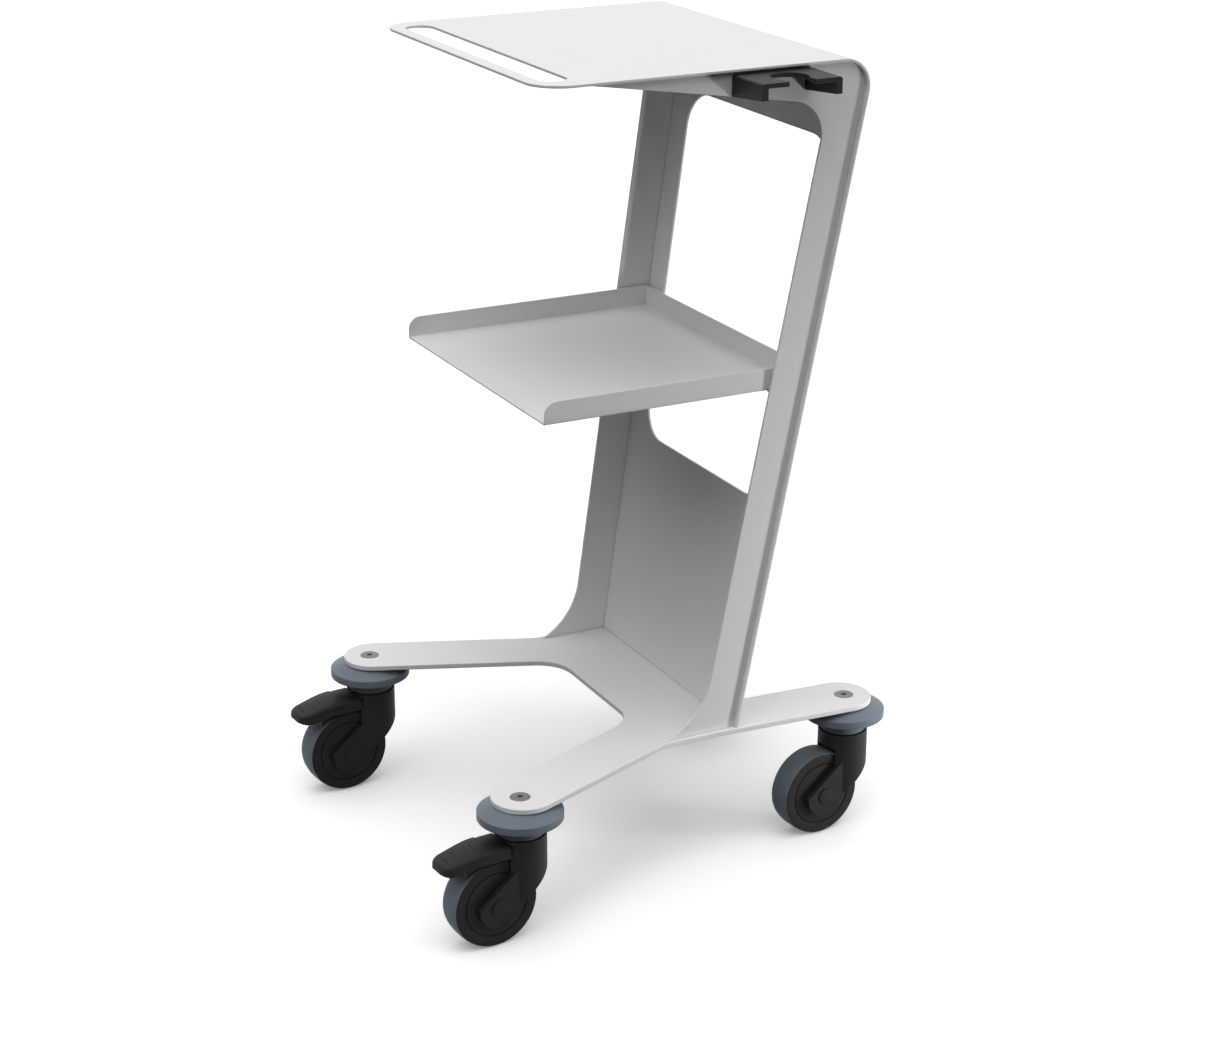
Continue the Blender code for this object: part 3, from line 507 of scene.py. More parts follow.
thicken(bent_sheet, SHEET, (0, 1, 1))
soften(bent_sheet, SHEET_EDGE)
print("bent sheet:", len(bent_sheet.data.polygons), "faces before its thickness")

# %% [markdown]
# ## The side plates
# Each plate is flat and stands on edge, tilted outwards as the sheet widens. Its front edge runs up
# from a flared foot, turns forward in a fillet and ends in a wedge under the top. The whole outline is
# one closed line of arcs and straights, so the plate is a plain prism with softened edges.

# %% Outline of a side plate
PLATE_INSET = 0.0051
LEG_WIDTH = 0.0431
LEG_LEAN = math.radians(9.804)
WEDGE_TIP_Y = -0.1373
WEDGE_FALL = math.radians(8.81)
WEDGE_R = 0.040
FLARE_R = 0.084
FLARE_RISE = 0.0777
PLATE_EDGE = 0.0005
PLATE_TILT = math.atan(TAPER)


def plate_x(z):
    """The right plate's outer face."""
    return half_width(z) - PLATE_INSET


def plate_inner_x(z):
    return plate_x(z) - SHEET / math.cos(PLATE_TILT)


def leg_front_y(z):
    return back_inner_y(BASE_Z) - LEG_WIDTH + (z - BASE_Z) * math.tan(LEG_LEAN)


def plate_outline():
    """From the tip of the foot up the front edge, along the wedge and round the bend, in (y, z)."""
    seat = GAP + SHEET * math.sin(PLATE_TILT)
    turn_r = BEND_R - SHEET - seat
    front = (leg_front_y(BASE_Z), BASE_Z)
    centre_z = BASE_Z + FLARE_RISE
    centre_y = leg_front_y(centre_z) - FLARE_R / math.cos(LEG_LEAN)
    tip_angle = -math.asin((centre_z - FOOT_Z) / FLARE_R)
    points = arc((centre_y, centre_z), FLARE_R, tip_angle, -LEG_LEAN)
    wedge_tip = (WEDGE_TIP_Y, TOP_Z - SHEET)
    corner = meet(front, math.pi / 2 - LEG_LEAN, wedge_tip, -WEDGE_FALL)
    below_z = corner[1] - 2 * WEDGE_R
    below = (leg_front_y(below_z), below_z)
    points += rounded([(*below, 0), (*corner, WEDGE_R), (*wedge_tip, 0)])[1:-1]
    points.append(meet(wedge_tip, -WEDGE_FALL, (0, BEND_Z + turn_r), 0))
    points += arc((BEND_Y, BEND_Z), turn_r, math.pi / 2, -BACK_LEAN)
    points.append((back_inner_y(FOOT_Z) - seat / math.cos(BACK_LEAN), FOOT_Z))
    return points


outline = [(y, (z - FOOT_Z) / math.cos(PLATE_TILT)) for y, z in plate_outline()]
for sign, hand in ((-1, "left"), (1, "right")):
    bm = along_x(outline, -sign * SHEET, 0)
    at = ORIGIN + Vector((sign * plate_x(FOOT_Z), 0, FOOT_Z))
    tilt = (0, sign * PLATE_TILT, 0)
    plate = piece(f"{hand}_plate", bm, powder_coat, "frame", [f"side_plate_{hand}"], at, tilt)
    soften(plate, PLATE_EDGE)
print("side plates with", len(outline), "points each")

# %% [markdown]
# ## The base
# The base is one thick plate. Each leg runs straight from the middle to a round end under its bolt, and
# the notches between the legs have generous fillets. The outline is drawn for the right half and
# mirrored. The blank gets its four bolt holes before it gets its thickness.

# %% Outline of the base
BASE_T = 0.006
FRONT_SPLAY = math.radians(22.4)
REAR_SPLAY = math.radians(3.7)
LEG_HALF = 0.0355
LEG_ROUND_IN = 0.005
FRONT_NOTCH_Y = -0.0275
FRONT_NOTCH_R = 0.045
REAR_NOTCH_Y = 0.092
REAR_NOTCH_R = 0.022
BOLT_HEAD_R = 0.0106
BASE_EDGE = 0.0009
bolts = {corner: (swivels[corner] - ORIGIN).to_2d() for corner in CORNERS}


def leg(corner, direction):
    """A leg's bolt, its outward direction and the direction a quarter turn on."""
    along = Vector((math.sin(direction), -math.cos(direction)))
    return bolts[corner], along, Vector((-along.y, along.x))


def angle_of(direction):
    return math.atan2(direction.y, direction.x)


def leg_end(bolt, along, across):
    start = angle_of(-across)
    return arc(bolt - along * LEG_ROUND_IN, LEG_HALF, start, start + math.pi)


def base_outline():
    """The right half, from the front notch round by the right side to the rear notch."""
    bolt, along, across = leg("front_right", FRONT_SPLAY)
    inner, outer = bolt - across * LEG_HALF, bolt + across * LEG_HALF
    notch = meet(inner, angle_of(along), (0, FRONT_NOTCH_Y), 0)
    points = rounded([(0, FRONT_NOTCH_Y, 0), (*notch, FRONT_NOTCH_R), (*inner, 0)])[1:-1]
    points += leg_end(bolt, along, across)
    points.append(meet(outer, angle_of(along), (FOOT_HALF, 0), math.pi / 2))
    bolt, along, across = leg("rear_right", math.pi - REAR_SPLAY)
    outer, inner = bolt - across * LEG_HALF, bolt + across * LEG_HALF
    notch = meet(inner, angle_of(along), (0, REAR_NOTCH_Y), 0)
    points.append(meet(outer, angle_of(along), (FOOT_HALF, 0), math.pi / 2))
    points += leg_end(bolt, along, across)
    points += rounded([(*inner, 0), (*notch, REAR_NOTCH_R), (0, REAR_NOTCH_Y, 0)])[1:-1]
    return points


right = base_outline()
outline = right + [(-x, y) for x, y in reversed(right)]
holes = [arc(bolt, BOLT_HEAD_R + GAP, 0, 2 * math.pi)[:-1] for bolt in bolts.values()]
plan = blank(outline, holes)
merge_flat(plan)
base = piece("base", plan, powder_coat, "frame", ["base_plate"], ORIGIN + Vector((0, 0, BASE_Z)))
thicken(base, BASE_T, (0, 0, 1))
soften(base, BASE_EDGE)
print("base outline has", len(outline), "points and", len(holes), "holes")

# %% [markdown]
# ## The shelf tray
# The tray is folded from one thin sheet: a floor with a rim at the left, the right and the rear. Its
# outer skin is five flat faces whose shared edges are then bevelled into folds, which also makes the
# corners where three folds meet. The thickness goes on inwards.

# %% Fold the tray
SHELF_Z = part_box("shelf_tray")[0].z
SHELF_T = 0.002
SHELF_RIM = 0.0246
SHELF_FRONT_Y = -0.1743
SHELF_SIDE_GAP = 0.0011
SHELF_RIM_R = 0.014
FOLD_R = 0.0026
FOLD_STEPS = 6
SHELF_EDGE = 0.0004
half = plate_inner_x(SHELF_Z) - SHELF_SIDE_GAP
rear = back_inner_y(SHELF_Z) - GAP
rim_z = SHELF_Z + SHELF_RIM
rim = arc((SHELF_FRONT_Y + SHELF_RIM_R, rim_z - SHELF_RIM_R), SHELF_RIM_R, math.pi, math.pi / 2)
rim = [(SHELF_FRONT_Y, SHELF_Z), *rim, (rear, rim_z), (rear, SHELF_Z)]
tray = bmesh.new()
rims = [[tray.verts.new((x, y, z)) for y, z in rim] for x in (-half, half)]
for verts in rims:
    tray.faces.new(verts)
left, right = rims
tray.faces.new((left[0], right[0], right[-1], left[-1]))
tray.faces.new((left[-1], right[-1], right[-2], left[-2]))
bmesh.ops.recalc_face_normals(tray, faces=tray.faces)
folds = [edge for edge in tray.edges if len(edge.link_faces) == 2]
bmesh.ops.bevel(
    tray, geom=folds, offset=FOLD_R, segments=FOLD_STEPS, profile=0.5, affect="EDGES", clamp_overlap=False,
)
shelf = piece("shelf", tray, shelf_coat, "frame", ["shelf_tray"])
thicken(shelf, SHELF_T, (0, 0, -1))
soften(shelf, SHELF_EDGE, 2)
print("the tray has", len(folds), "folds")

# %% [markdown]
# ## The probe holder
# A moulded channel screwed to the right side plate: a roof with a round hole that opens outwards, and
# two cheeks that get shallower away from the plate. Its section is lofted from the plate to the outer
# end, the hole is cut, and small edge radii make it read as moulded plastic.

# %% Loft and cut the holder
HOLDER_OUT_X = 0.260
HOLDER_Y = (0.0273, 0.1206)
HOLDER_TOP_Z = 0.9063
HOLDER_T = 0.005
CHEEK_T = 0.0075
CHEEK_DROPS = (0.0233, 0.0173)
HOLDER_BEND_R = 0.003
HOLE_X = 0.2338
HOLE_R = 0.020
MOUTH = 0.0306
HOLDER_EDGE = 0.0006
front, rear = HOLDER_Y
under = HOLDER_TOP_Z - HOLDER_T


def holder_section(x_at, drop):
    low = HOLDER_TOP_Z - drop
    outline = rounded([
        (front, low, 0),
        (front + CHEEK_T, low, 0),
        (front + CHEEK_T, under, 0),
        (rear - CHEEK_T, under, 0),
        (rear - CHEEK_T, low, 0),
        (rear, low, 0),
        (rear, HOLDER_TOP_Z, HOLDER_BEND_R),
        (front, HOLDER_TOP_Z, HOLDER_BEND_R),
    ], step=SMALL_ARC_STEP)
    return [(x_at(z), y, z) for y, z in outline]


inner = holder_section(lambda z: plate_x(z) + GAP, CHEEK_DROPS[0])
outer = holder_section(lambda z: HOLDER_OUT_X, CHEEK_DROPS[1])
holder = piece("holder", loft(inner, outer), black_nylon, "frame", ["probe_holder"])
centre = (HOLE_X, (front + rear) / 2)
open_at = math.asin(MOUTH / 2 / HOLE_R)
outline = arc(centre, HOLE_R, open_at, 2 * math.pi - open_at)
past_end = HOLDER_OUT_X + HOLDER_T
outline += [(past_end, centre[1] - MOUTH / 2), (past_end, centre[1] + MOUTH / 2)]
cut(holder, along_z(outline, under - HOLDER_T, HOLDER_TOP_Z + HOLDER_T))
soften(holder, HOLDER_EDGE)

# %% [markdown]
# ## The casters
# All four casters are alike, and the front two also have a brake. Each is drawn round its swivel axis
# with the wheel trailing towards -Y, then turned and moved to its place. These are the shared sizes.

# %% Sizes of a caster
WHEEL_R = 0.050
TRAIL = 0.0387
TREAD_HALF = 0.0151
TREAD_CROWN = 0.0013
TREAD_STEPS = 12
RIM_R = 0.044
WHEEL_HALF = 0.0153
FLANGE_R = 0.0484
FLANGE_T = 0.0022
GROOVE_R = 0.0367
GROOVE = 0.0007
GROOVE_EDGE = 0.0002
WHEEL_EDGE = 0.0006
HUB_EDGE = 0.0004
BUSH_R = 0.0065
AXLE_R = 0.004
AXLE_CAP_R = 0.0094
AXLE_CAP_T = 0.0013
AXLE_CAP_EDGE = 0.0006
WELL_R = 0.0545
WELL_HALF = 0.0173
ARM_OUT = 0.024
ARM_HALF_WIDTH = 0.016
ARM_END_R = 0.024
ARM_FALL = math.radians(39.2)
CROWN_R = 0.0285
CROWN_TOP_Z = 0.121


def caster_piece(name, bm, material, corner, part, nodes, turn=True):
    """A piece of one caster, on the body whose name ends in the given part."""
    body = f"{corner}_caster_{part}" if part in ("fork", "wheel") else f"{corner}_brake"
    if part == "frame":
        body = "frame"
    at = Vector((swivels[corner].x, swivels[corner].y, 0))
    bm.transform(Matrix.Rotation(CASTER_TURN if turn else 0, 4, "Z"))
    named = [f"{corner}_{node}" for node in nodes]
    return piece(f"{corner}_{name}", bm, material, body, named, at)


print("wheel centre", round(TRAIL, 4), "m in front of the swivel axis")

# %% [markdown]
# Under each leg hang a countersunk bolt, a bumper disc with a sloping top, and a collar. All three are
# round, so they are turned. The hexagon socket is the one thing that is cut. Small arcs in the profiles
# make the moulded edges soft without any modifier.

# %% Bolt, bumper disc and collar
BOLT_R = 0.005
SOCKET_R = 0.0035
SOCKET_DEPTH = 0.0015
STEM_R = 0.008
COLLAR_R = 0.026
BUMPER_R = 0.0469
BUMPER_TOP_R = 0.030
BUMPER_LOW_Z = 0.1375
BUMPER_RIM = 0.009
BUMPER_TOP_EDGE = 0.0006
BUMPER_RIM_EDGE = 0.0012
BUMPER_LOW_EDGE = 0.0010
BOLT_EDGE = 0.0003
BOLT_LAND = 0.0008
COLLAR_EDGE = 0.0005
bore = STEM_R + GAP
under_base = BASE_Z - BASE_T - GAP
bolt_profile = rounded([
    (0, BASE_Z, 0),
    (BOLT_HEAD_R, BASE_Z, BOLT_EDGE),
    (BOLT_HEAD_R, BASE_Z - BOLT_LAND, 0),
    (BOLT_R, BASE_Z - BOLT_HEAD_R + BOLT_R, 0),
    (BOLT_R, BUMPER_LOW_Z, 0),
    (0, BUMPER_LOW_Z, 0),
])
bumper_profile = rounded([
    (bore, under_base, 0),
    (BUMPER_TOP_R, under_base, BUMPER_TOP_EDGE),
    (BUMPER_R, BUMPER_LOW_Z + BUMPER_RIM, BUMPER_RIM_EDGE),
    (BUMPER_R, BUMPER_LOW_Z, BUMPER_LOW_EDGE),
    (bore, BUMPER_LOW_Z, 0),
], step=SMALL_ARC_STEP)
collar_profile = rounded([
    (bore, BUMPER_LOW_Z - GAP, 0),
    (COLLAR_R, BUMPER_LOW_Z - GAP, COLLAR_EDGE),
    (COLLAR_R, CROWN_TOP_Z + GAP, COLLAR_EDGE),
    (bore, CROWN_TOP_Z + GAP, 0),
], step=TINY_ARC_STEP)
hexagon = arc((0, 0), SOCKET_R, 0, 2 * math.pi, math.pi / 3)[:-1]
for corner in CORNERS:
    screw = turned(bolt_profile, segments=64)
    bolt = caster_piece("bolt_head", screw, zinc, corner, "frame", ["bolt"], turn=False)
    cut(bolt, along_z(hexagon, BASE_Z - SOCKET_DEPTH, BASE_Z + SOCKET_DEPTH))
    disc = turned(bumper_profile, segments=128, closed=True)
    caster_piece("bumper", disc, grey_nylon, corner, "frame", ["bumper_disc"], turn=False)
    ring = turned(collar_profile, segments=96, closed=True)
    caster_piece("collar_ring", ring, grey_nylon, corner, "frame", ["collar"], turn=False)
print("discs", round(2000 * BUMPER_R), "mm across")

# %% [markdown]
# The wheel is a black centre with a fine groove in each side and a crowned band of grey rubber between
# its flanges. A pressed cap closes each end of the axle. These profiles are turned about X.

# %% Wheel, tread and axle
half = rounded([
    (BUSH_R + GAP, 0, 0),
    (BUSH_R + GAP, WHEEL_HALF, HUB_EDGE),
    (GROOVE_R - GROOVE, WHEEL_HALF, GROOVE_EDGE),
    (GROOVE_R - GROOVE / 2, WHEEL_HALF - 2 * GROOVE, 0),
    (GROOVE_R + GROOVE / 2, WHEEL_HALF - 2 * GROOVE, 0),
    (GROOVE_R + GROOVE, WHEEL_HALF, GROOVE_EDGE),
    (FLANGE_R, WHEEL_HALF, WHEEL_EDGE),
    (FLANGE_R, WHEEL_HALF - FLANGE_T, 0),
    (RIM_R, WHEEL_HALF - FLANGE_T, 0),
    (RIM_R, 0, 0),
], step=TINY_ARC_STEP)
centre_profile = half[1:-1] + [(r, -h) for r, h in reversed(half[1:-1])]
crown_points = []
for i in range(TREAD_STEPS + 1):
    share = i / TREAD_STEPS
    crown_points.append((WHEEL_R - TREAD_CROWN * share ** 3, TREAD_HALF * share))
half = [(RIM_R + GAP, WHEEL_HALF - FLANGE_T - GAP), (FLANGE_R + GAP, WHEEL_HALF - FLANGE_T - GAP)]
half += [(FLANGE_R + GAP, TREAD_HALF), *reversed(crown_points[1:])]
tread_profile = half + [(WHEEL_R, 0)] + [(r, -h) for r, h in reversed(half)]
seat = ARM_OUT + GAP
cap = rounded([
    (0, seat + AXLE_CAP_T, 0),
    (AXLE_CAP_R, seat + AXLE_CAP_T, AXLE_CAP_EDGE),
    (AXLE_CAP_R, seat, 0),
    (AXLE_R, seat, 0),
], step=TINY_ARC_STEP)
axle_profile = cap + [(r, -h) for r, h in reversed(cap)]
for corner in CORNERS:
    at_axle = Matrix.Translation((0, -TRAIL, WHEEL_R))
    for name, profile, material, part, node, closed in (
        ("wheel", centre_profile, black_nylon, "wheel", "wheel_centre", True),
        ("tyre", tread_profile, grey_rubber, "wheel", "tread", True),
        ("axle_caps", axle_profile, black_nylon, "fork", "axle", False),
    ):
        bm = turned(profile, "X", segments=160, closed=closed)
        bm.transform(at_axle)
        caster_piece(name, bm, material, corner, part, [node])
print("wheels", round(2000 * WHEEL_R), "mm across")

# %% [markdown]
# The fork is a round crown with two arms that fall forward to the axle. It is the union of a cylinder
# and a slab, then everything below the arms, the wheel's room and the bores are cut away. At the rear,
# the crown's side runs into the arm in a large radius. A braked fork also has a pocket in front, where
# the pedal's tongue turns on a pin. The pin's bore is blind, so its ends don't show.

# %% What a fork is cut from
REAR_ROUND_R = 0.025
REAR_ROUND_OUT = 0.0002
FORK_EDGE = 0.0005
STEM_HEAD_R = 0.011
STEM_HEAD_TOP_Z = 0.103
PIN = (0.018, 0.1145)
PIN_R = 0.0025
PIN_HALF = 0.020
HUB_R = 0.0055
TONGUE_HALF = 0.0115
POCKET_PLAY = 0.0005
PAST = 0.009
axle_at = Vector((TRAIL, WHEEL_R))
arm_along = Vector((math.cos(ARM_FALL), -math.sin(ARM_FALL)))
arm_across = Vector((-arm_along.y, arm_along.x))


def ahead(outline):
    """An outline in (distance ahead of the swivel axis, z) turned to a caster's own (y, z)."""
    return [(-d, z) for d, z in outline]


def rod(radius, half_length, d, z, segments=96):
    """A rod along X at a distance ahead and a height."""
    outline = arc((-d, z), radius, 0, 2 * math.pi, 2 * math.pi / segments)[:-1]
    return along_x(outline, -half_length, half_length)


def arm_outline():
    back = axle_at - arm_along * (CROWN_R + ARM_HALF_WIDTH)
    tip = math.sqrt(ARM_END_R ** 2 - ARM_HALF_WIDTH ** 2)
    top_corner = axle_at + arm_across * ARM_HALF_WIDTH + arm_along * tip
    end = arc(axle_at, ARM_END_R, angle_of(top_corner - axle_at), angle_of(-arm_across))
    return [tuple(back + arm_across * ARM_HALF_WIDTH), *end, tuple(back - arm_across * ARM_END_R)]


def undercut_outline():
    reach = 4 * CROWN_R
    rear = -CROWN_R - REAR_ROUND_OUT
    edge = axle_at - arm_across * ARM_HALF_WIDTH
    far = edge + arm_along * reach
    corner = meet(edge, -ARM_FALL, (rear, 0), math.pi / 2)
    round_top = corner[1] + REAR_ROUND_R
    return rounded([
        (*far, 0),
        (*corner, REAR_ROUND_R),
        (rear, round_top, 0),
        (-reach, round_top, 0),
        (-reach, -reach, 0),
        (far.x, -reach, 0),
    ])


print("arm's end", round(1000 * ARM_END_R), "mm in radius")

# %% [markdown]
# Each fork takes its cuts in the same order. The two bores and the pocket are plain outlines too: the
# stem's bore is turned, with a wider part below for its head, and the pocket is open in front and above.

# %% Cut out the forks
ABOVE = CROWN_TOP_Z + PAST
stem_bore = [
    (0, WHEEL_R),
    (STEM_HEAD_R + GAP, WHEEL_R),
    (STEM_HEAD_R + GAP, STEM_HEAD_TOP_Z + GAP),
    (STEM_R + GAP, STEM_HEAD_TOP_Z + GAP),
    (STEM_R + GAP, ABOVE),
    (0, ABOVE),
]
pocket_back = PIN[0] - HUB_R - POCKET_PLAY
pocket_low = PIN[1] - HUB_R - POCKET_PLAY
pocket = [
    (pocket_back, pocket_low),
    (CROWN_R + PAST, pocket_low),
    (CROWN_R + PAST, ABOVE),
    (pocket_back, ABOVE),
]
pocket_half = TONGUE_HALF + POCKET_PLAY


def fork_cuts(braked):
    """The solids in order, each with the way in which it is combined."""
    yield "UNION", along_x(ahead(arm_outline()), -ARM_OUT, ARM_OUT)
    yield "DIFFERENCE", along_x(ahead(undercut_outline()), -2 * CROWN_R, 2 * CROWN_R)
    yield "DIFFERENCE", rod(WELL_R, WELL_HALF, TRAIL, WHEEL_R, segments=180)
    yield "DIFFERENCE", rod(AXLE_R + GAP, 2 * CROWN_R, TRAIL, WHEEL_R, segments=48)
    yield "DIFFERENCE", turned(stem_bore, segments=64)
    if braked:
        yield "DIFFERENCE", along_x(ahead(pocket), -pocket_half, pocket_half)
        yield "DIFFERENCE", rod(PIN_R + GAP, PIN_HALF + GAP, *PIN, segments=32)


for corner in CORNERS:
    crown = turned([(0, 0), (CROWN_R, 0), (CROWN_R, CROWN_TOP_Z), (0, CROWN_TOP_Z)], segments=128)
    body = caster_piece("fork_body", crown, black_nylon, corner, "fork", ["fork"])
    for operation, bm in fork_cuts(corner.startswith("front")):
        bm.transform(Matrix.Rotation(CASTER_TURN, 4, "Z"))
        cut(body, bm, operation)
    soften(body, FORK_EDGE, 2)
    print(body.name, len(body.data.polygons), "faces")

# %% [markdown]
# The front casters have a foot pedal: a housing over the brake shoe, with a pad on top that reaches
# forward over the wheel to a blunt tip. A moulding like this has hardly a flat face. So it isn't cut from
# blocks, but lofted through some seventy cross sections, each made from the same few rules. Distances
# run forward from the swivel axis.

# %% Sizes of the pedal
PEDAL_HALF = 0.0212
PEDAL_TIP_HALF = 0.0170
PEDAL_TAPER_FROM = 0.060
PEDAL_TOP_Z = 0.1204
PEDAL_REACH = 0.1015
PEDAL_TIP_R = 0.015
PEDAL_TIP_OVER = 0.0014
PEDAL_TIP_LENGTH = 0.0363
PEDAL_DROP = 0.0132
PEDAL_BOW_R = 0.170
PEDAL_BOW_STEP = 0.008
PEDAL_NOSE_R = 0.007
PEDAL_LOW_Z = 0.1005
PEDAL_BACK_R = 0.0301
PEDAL_WALL = 0.003
PEDAL_ROOM_HALF = 0.0135
PEDAL_ROOM_END = 0.080
BOW_AT = PEDAL_REACH - PEDAL_TIP_LENGTH
PEDAL_SLOPE = math.atan(PEDAL_DROP / PEDAL_TIP_LENGTH)
BOW_START = BOW_AT - PEDAL_BOW_R * math.tan(PEDAL_SLOPE / 2)
PLAN_REACH = PEDAL_REACH + PEDAL_TIP_OVER
taper = math.atan((PEDAL_HALF - PEDAL_TIP_HALF) / (PLAN_REACH - PEDAL_TAPER_FROM))
TIP_CENTRE = PEDAL_TIP_HALF - PEDAL_TIP_R * (1 - math.sin(taper)) / math.cos(taper)
print("pedal slopes", round(math.degrees(PEDAL_SLOPE), 1), "degrees at its tip")

# %% [markdown]
# Three curves along the pedal are short tables of distance and height: the pad's lower edge, the
# underside with the bulge that holds the shoe, and how far the pad's shoulders lie below its middle. A
# fourth tells where the lip under the pad's edge fades out, because the tip is pad over its full depth.

# %% Curves along the pedal
PAD_FROM = 0.048
PAD_LIP = 0.0010
FULL_DEPTH = ((0.0765, 0), (0.079, 1))
PAD_EDGE_Z = (
    (0.048, 0.1136), (0.056, 0.1134), (0.063, 0.1126), (0.070, 0.1110), (0.0745, 0.1092),
    (0.0768, 0.1070), (0.0780, 0.1045), (0.0785, 0.1015),
)
UNDERSIDE_Z = (
    (0.064, 0.1020), (0.068, 0.1008), (0.073, 0.0986), (0.0785, 0.0976), (0.0825, 0.0977),
    (0.088, 0.0974), (0.094, 0.0972), (PEDAL_REACH, 0.1000),
)
SHOULDER_DROP = ((0.050, 0.0056), (0.0757, 0.0044), (0.099, 0.0016))


def along_table(d, table):
    """Reads between the rows of a table. Past its ends the first or last value holds."""
    value = table[0][1]
    for (d0, v0), (d1, v1) in zip(table, table[1:]):
        if d > d0:
            value = v0 + min(1, (d - d0) / (d1 - d0)) * (v1 - v0)
    return value


def half_plan(d):
    """Half the pedal's width."""
    straight = PEDAL_HALF - max(0, d - PEDAL_TAPER_FROM) * math.tan(taper)
    over = d - PLAN_REACH + PEDAL_TIP_R
    if over <= 0:
        return straight
    return min(straight, TIP_CENTRE + math.sqrt(PEDAL_TIP_R ** 2 - over ** 2))


def pedal_top():
    """Points (distance, z) along the middle of the top: level, a bow, a slope and a round nose."""
    bow_centre = (BOW_START, PEDAL_TOP_Z - PEDAL_BOW_R)
    bow_end = math.pi / 2 - PEDAL_SLOPE
    bow = arc(bow_centre, PEDAL_BOW_R, math.pi / 2, bow_end, PEDAL_BOW_STEP)
    nose = meet((BOW_AT, PEDAL_TOP_Z), -PEDAL_SLOPE, (PEDAL_REACH, 0), math.pi / 2)
    end = rounded([(*bow[-1], 0), (*nose, PEDAL_NOSE_R), (PEDAL_REACH, PEDAL_LOW_Z, 0)], step=2 * ARC_STEP)
    return [(PIN[0], PEDAL_TOP_Z), *bow, *end[1:-1]]


print(len(pedal_top()), "points along the top")

# %% [markdown]
# One cross section is a loop: up the side, a lip under the pad's edge, a bevelled shoulder, a slightly
# domed top, and the same down the other side. Its small corners lie at shares of the shoulder's width and
# drop. Fine ribs across the pad lift the middle of its top, so they need nothing but four more stations
# each.

# %% One cross section
RIBS = (0.0600, 0.0705, 0.0810, 0.0920)
RIB_HALF_WIDTH = 0.0006
RIB_FOOT = 1.2
RIB_HALF_LENGTH = 0.0082
RIB_HEIGHT = 0.0005
SHOULDER = 0.0032
DOME = 0.3
PEDAL_EDGE = 0.0005
DOME_STEPS = 20
MOST_DROP = 0.4
MOST_EDGE = 0.25
TUCK = 0.1
LIP_ABOVE_EDGE = 1.2
LIP_BELOW_SHOULDER = 0.2
SHOULDER_START = 0.15
SHOULDER_END = 0.06


def pedal_section(d, top, pad, rib, inset=0.0):
    """The loop (x, z) at one station. Pad and rib say whether they are there."""
    low = along_table(d, UNDERSIDE_Z)
    height = top - low
    core = half_plan(d) - PAD_LIP * (1 - along_table(d, FULL_DEPTH)) - inset
    outer = half_plan(d) - inset if pad else core
    top -= 0 if pad else PAD_LIP
    drop = min(along_table(d, SHOULDER_DROP), MOST_DROP * height)
    edge = min(PEDAL_EDGE, MOST_EDGE * height)
    side = top - drop
    lip = max(along_table(d, PAD_EDGE_Z), low + LIP_ABOVE_EDGE * edge)
    lip = min(lip, side - LIP_BELOW_SHOULDER * edge)
    flat = outer - SHOULDER
    half = [
        (core - edge, low),
        (core, low + edge),
        (core, lip - TUCK * edge),
        (outer, lip),
        (outer, side),
        (outer - TUCK * SHOULDER, side + SHOULDER_START * drop),
        (flat + SHOULDER_START * SHOULDER, top - (DOME + SHOULDER_END) * drop),
    ]
    dome = []
    for i in range(DOME_STEPS + 1):
        x = flat * (1 - 2 * i / DOME_STEPS)
        lift = RIB_HEIGHT if rib and abs(x) < RIB_HALF_LENGTH else 0
        dome.append((x, top - DOME * drop * (x / flat) ** 2 + lift))
    return half + dome + [(-x, z) for x, z in reversed(half)]


def pedal_stations():
    """Rows of (distance, top, pad, rib), closer together where something changes."""
    line = pedal_top()
    marks = [(d, False) for d, z in line if BOW_START < d]
    marks += [(PIN[0], False), (PAD_FROM - RIB_HALF_WIDTH / 2, False), (PAD_FROM, False)]
    for at in RIBS:
        marks += [(at + k * RIB_HALF_WIDTH, abs(k) < 1) for k in (-RIB_FOOT, -0.5, 0.5, RIB_FOOT)]
    rows = []
    for d, rib in sorted(marks):
        rows.append((d, along_table(d, line), d >= PAD_FROM, rib))
    return rows


rows = pedal_stations()
print(len(rows), "stations of", len(pedal_section(*rows[0])), "points")

# %% [markdown]
# The loft is closed, so the rest can be cut: a round heel that clears the crown, and the room for the
# brake shoe, open below. A tongue with the pin's bore then joins it to the crown.

# %% Loft the pedals and fit them to the crown
NOSE_EDGE = 0.0004
ROOF_STEPS = 12


def pedal_loft():
    """The last section comes twice, the second one smaller, which rounds the nose's edge."""
    loops = []
    for d, *shape in rows[:-1]:
        loops.append([(x, -d, z) for x, z in pedal_section(d, *shape)])
    d, *shape = rows[-1]
    for back, inset in ((NOSE_EDGE, 0), (0, NOSE_EDGE)):
        loops.append([(x, back - d, z) for x, z in pedal_section(d, *shape, inset)])
    return loft(*loops)


def roof_z(d):
    """The ceiling of the shoe's room, one wall below the pedal's top."""
    radius = PEDAL_BOW_R - PEDAL_WALL
    return PEDAL_TOP_Z - PEDAL_BOW_R + math.sqrt(radius ** 2 - max(0, d - BOW_START) ** 2)


heel = PEDAL_BACK_R + PEDAL_WALL
under = PEDAL_LOW_Z - PAST
steps = [heel + (PEDAL_ROOM_END - heel) * i / ROOF_STEPS for i in range(ROOF_STEPS + 1)]
room = [(heel, under), *((d, roof_z(d)) for d in steps), (PEDAL_ROOM_END, under)]
root_d = PEDAL_BACK_R + PEDAL_WALL / 2
tongue = arc(PIN, HUB_R, math.pi / 3, 2 * math.pi - math.pi / 3)
tongue += [(root_d, PIN[1] - HUB_R + PEDAL_WALL / 2), (root_d, PEDAL_TOP_Z - PEDAL_WALL / 2)]
crown_room = arc((0, 0), PEDAL_BACK_R, 0, 2 * math.pi, ARC_STEP / 2)[:-1]


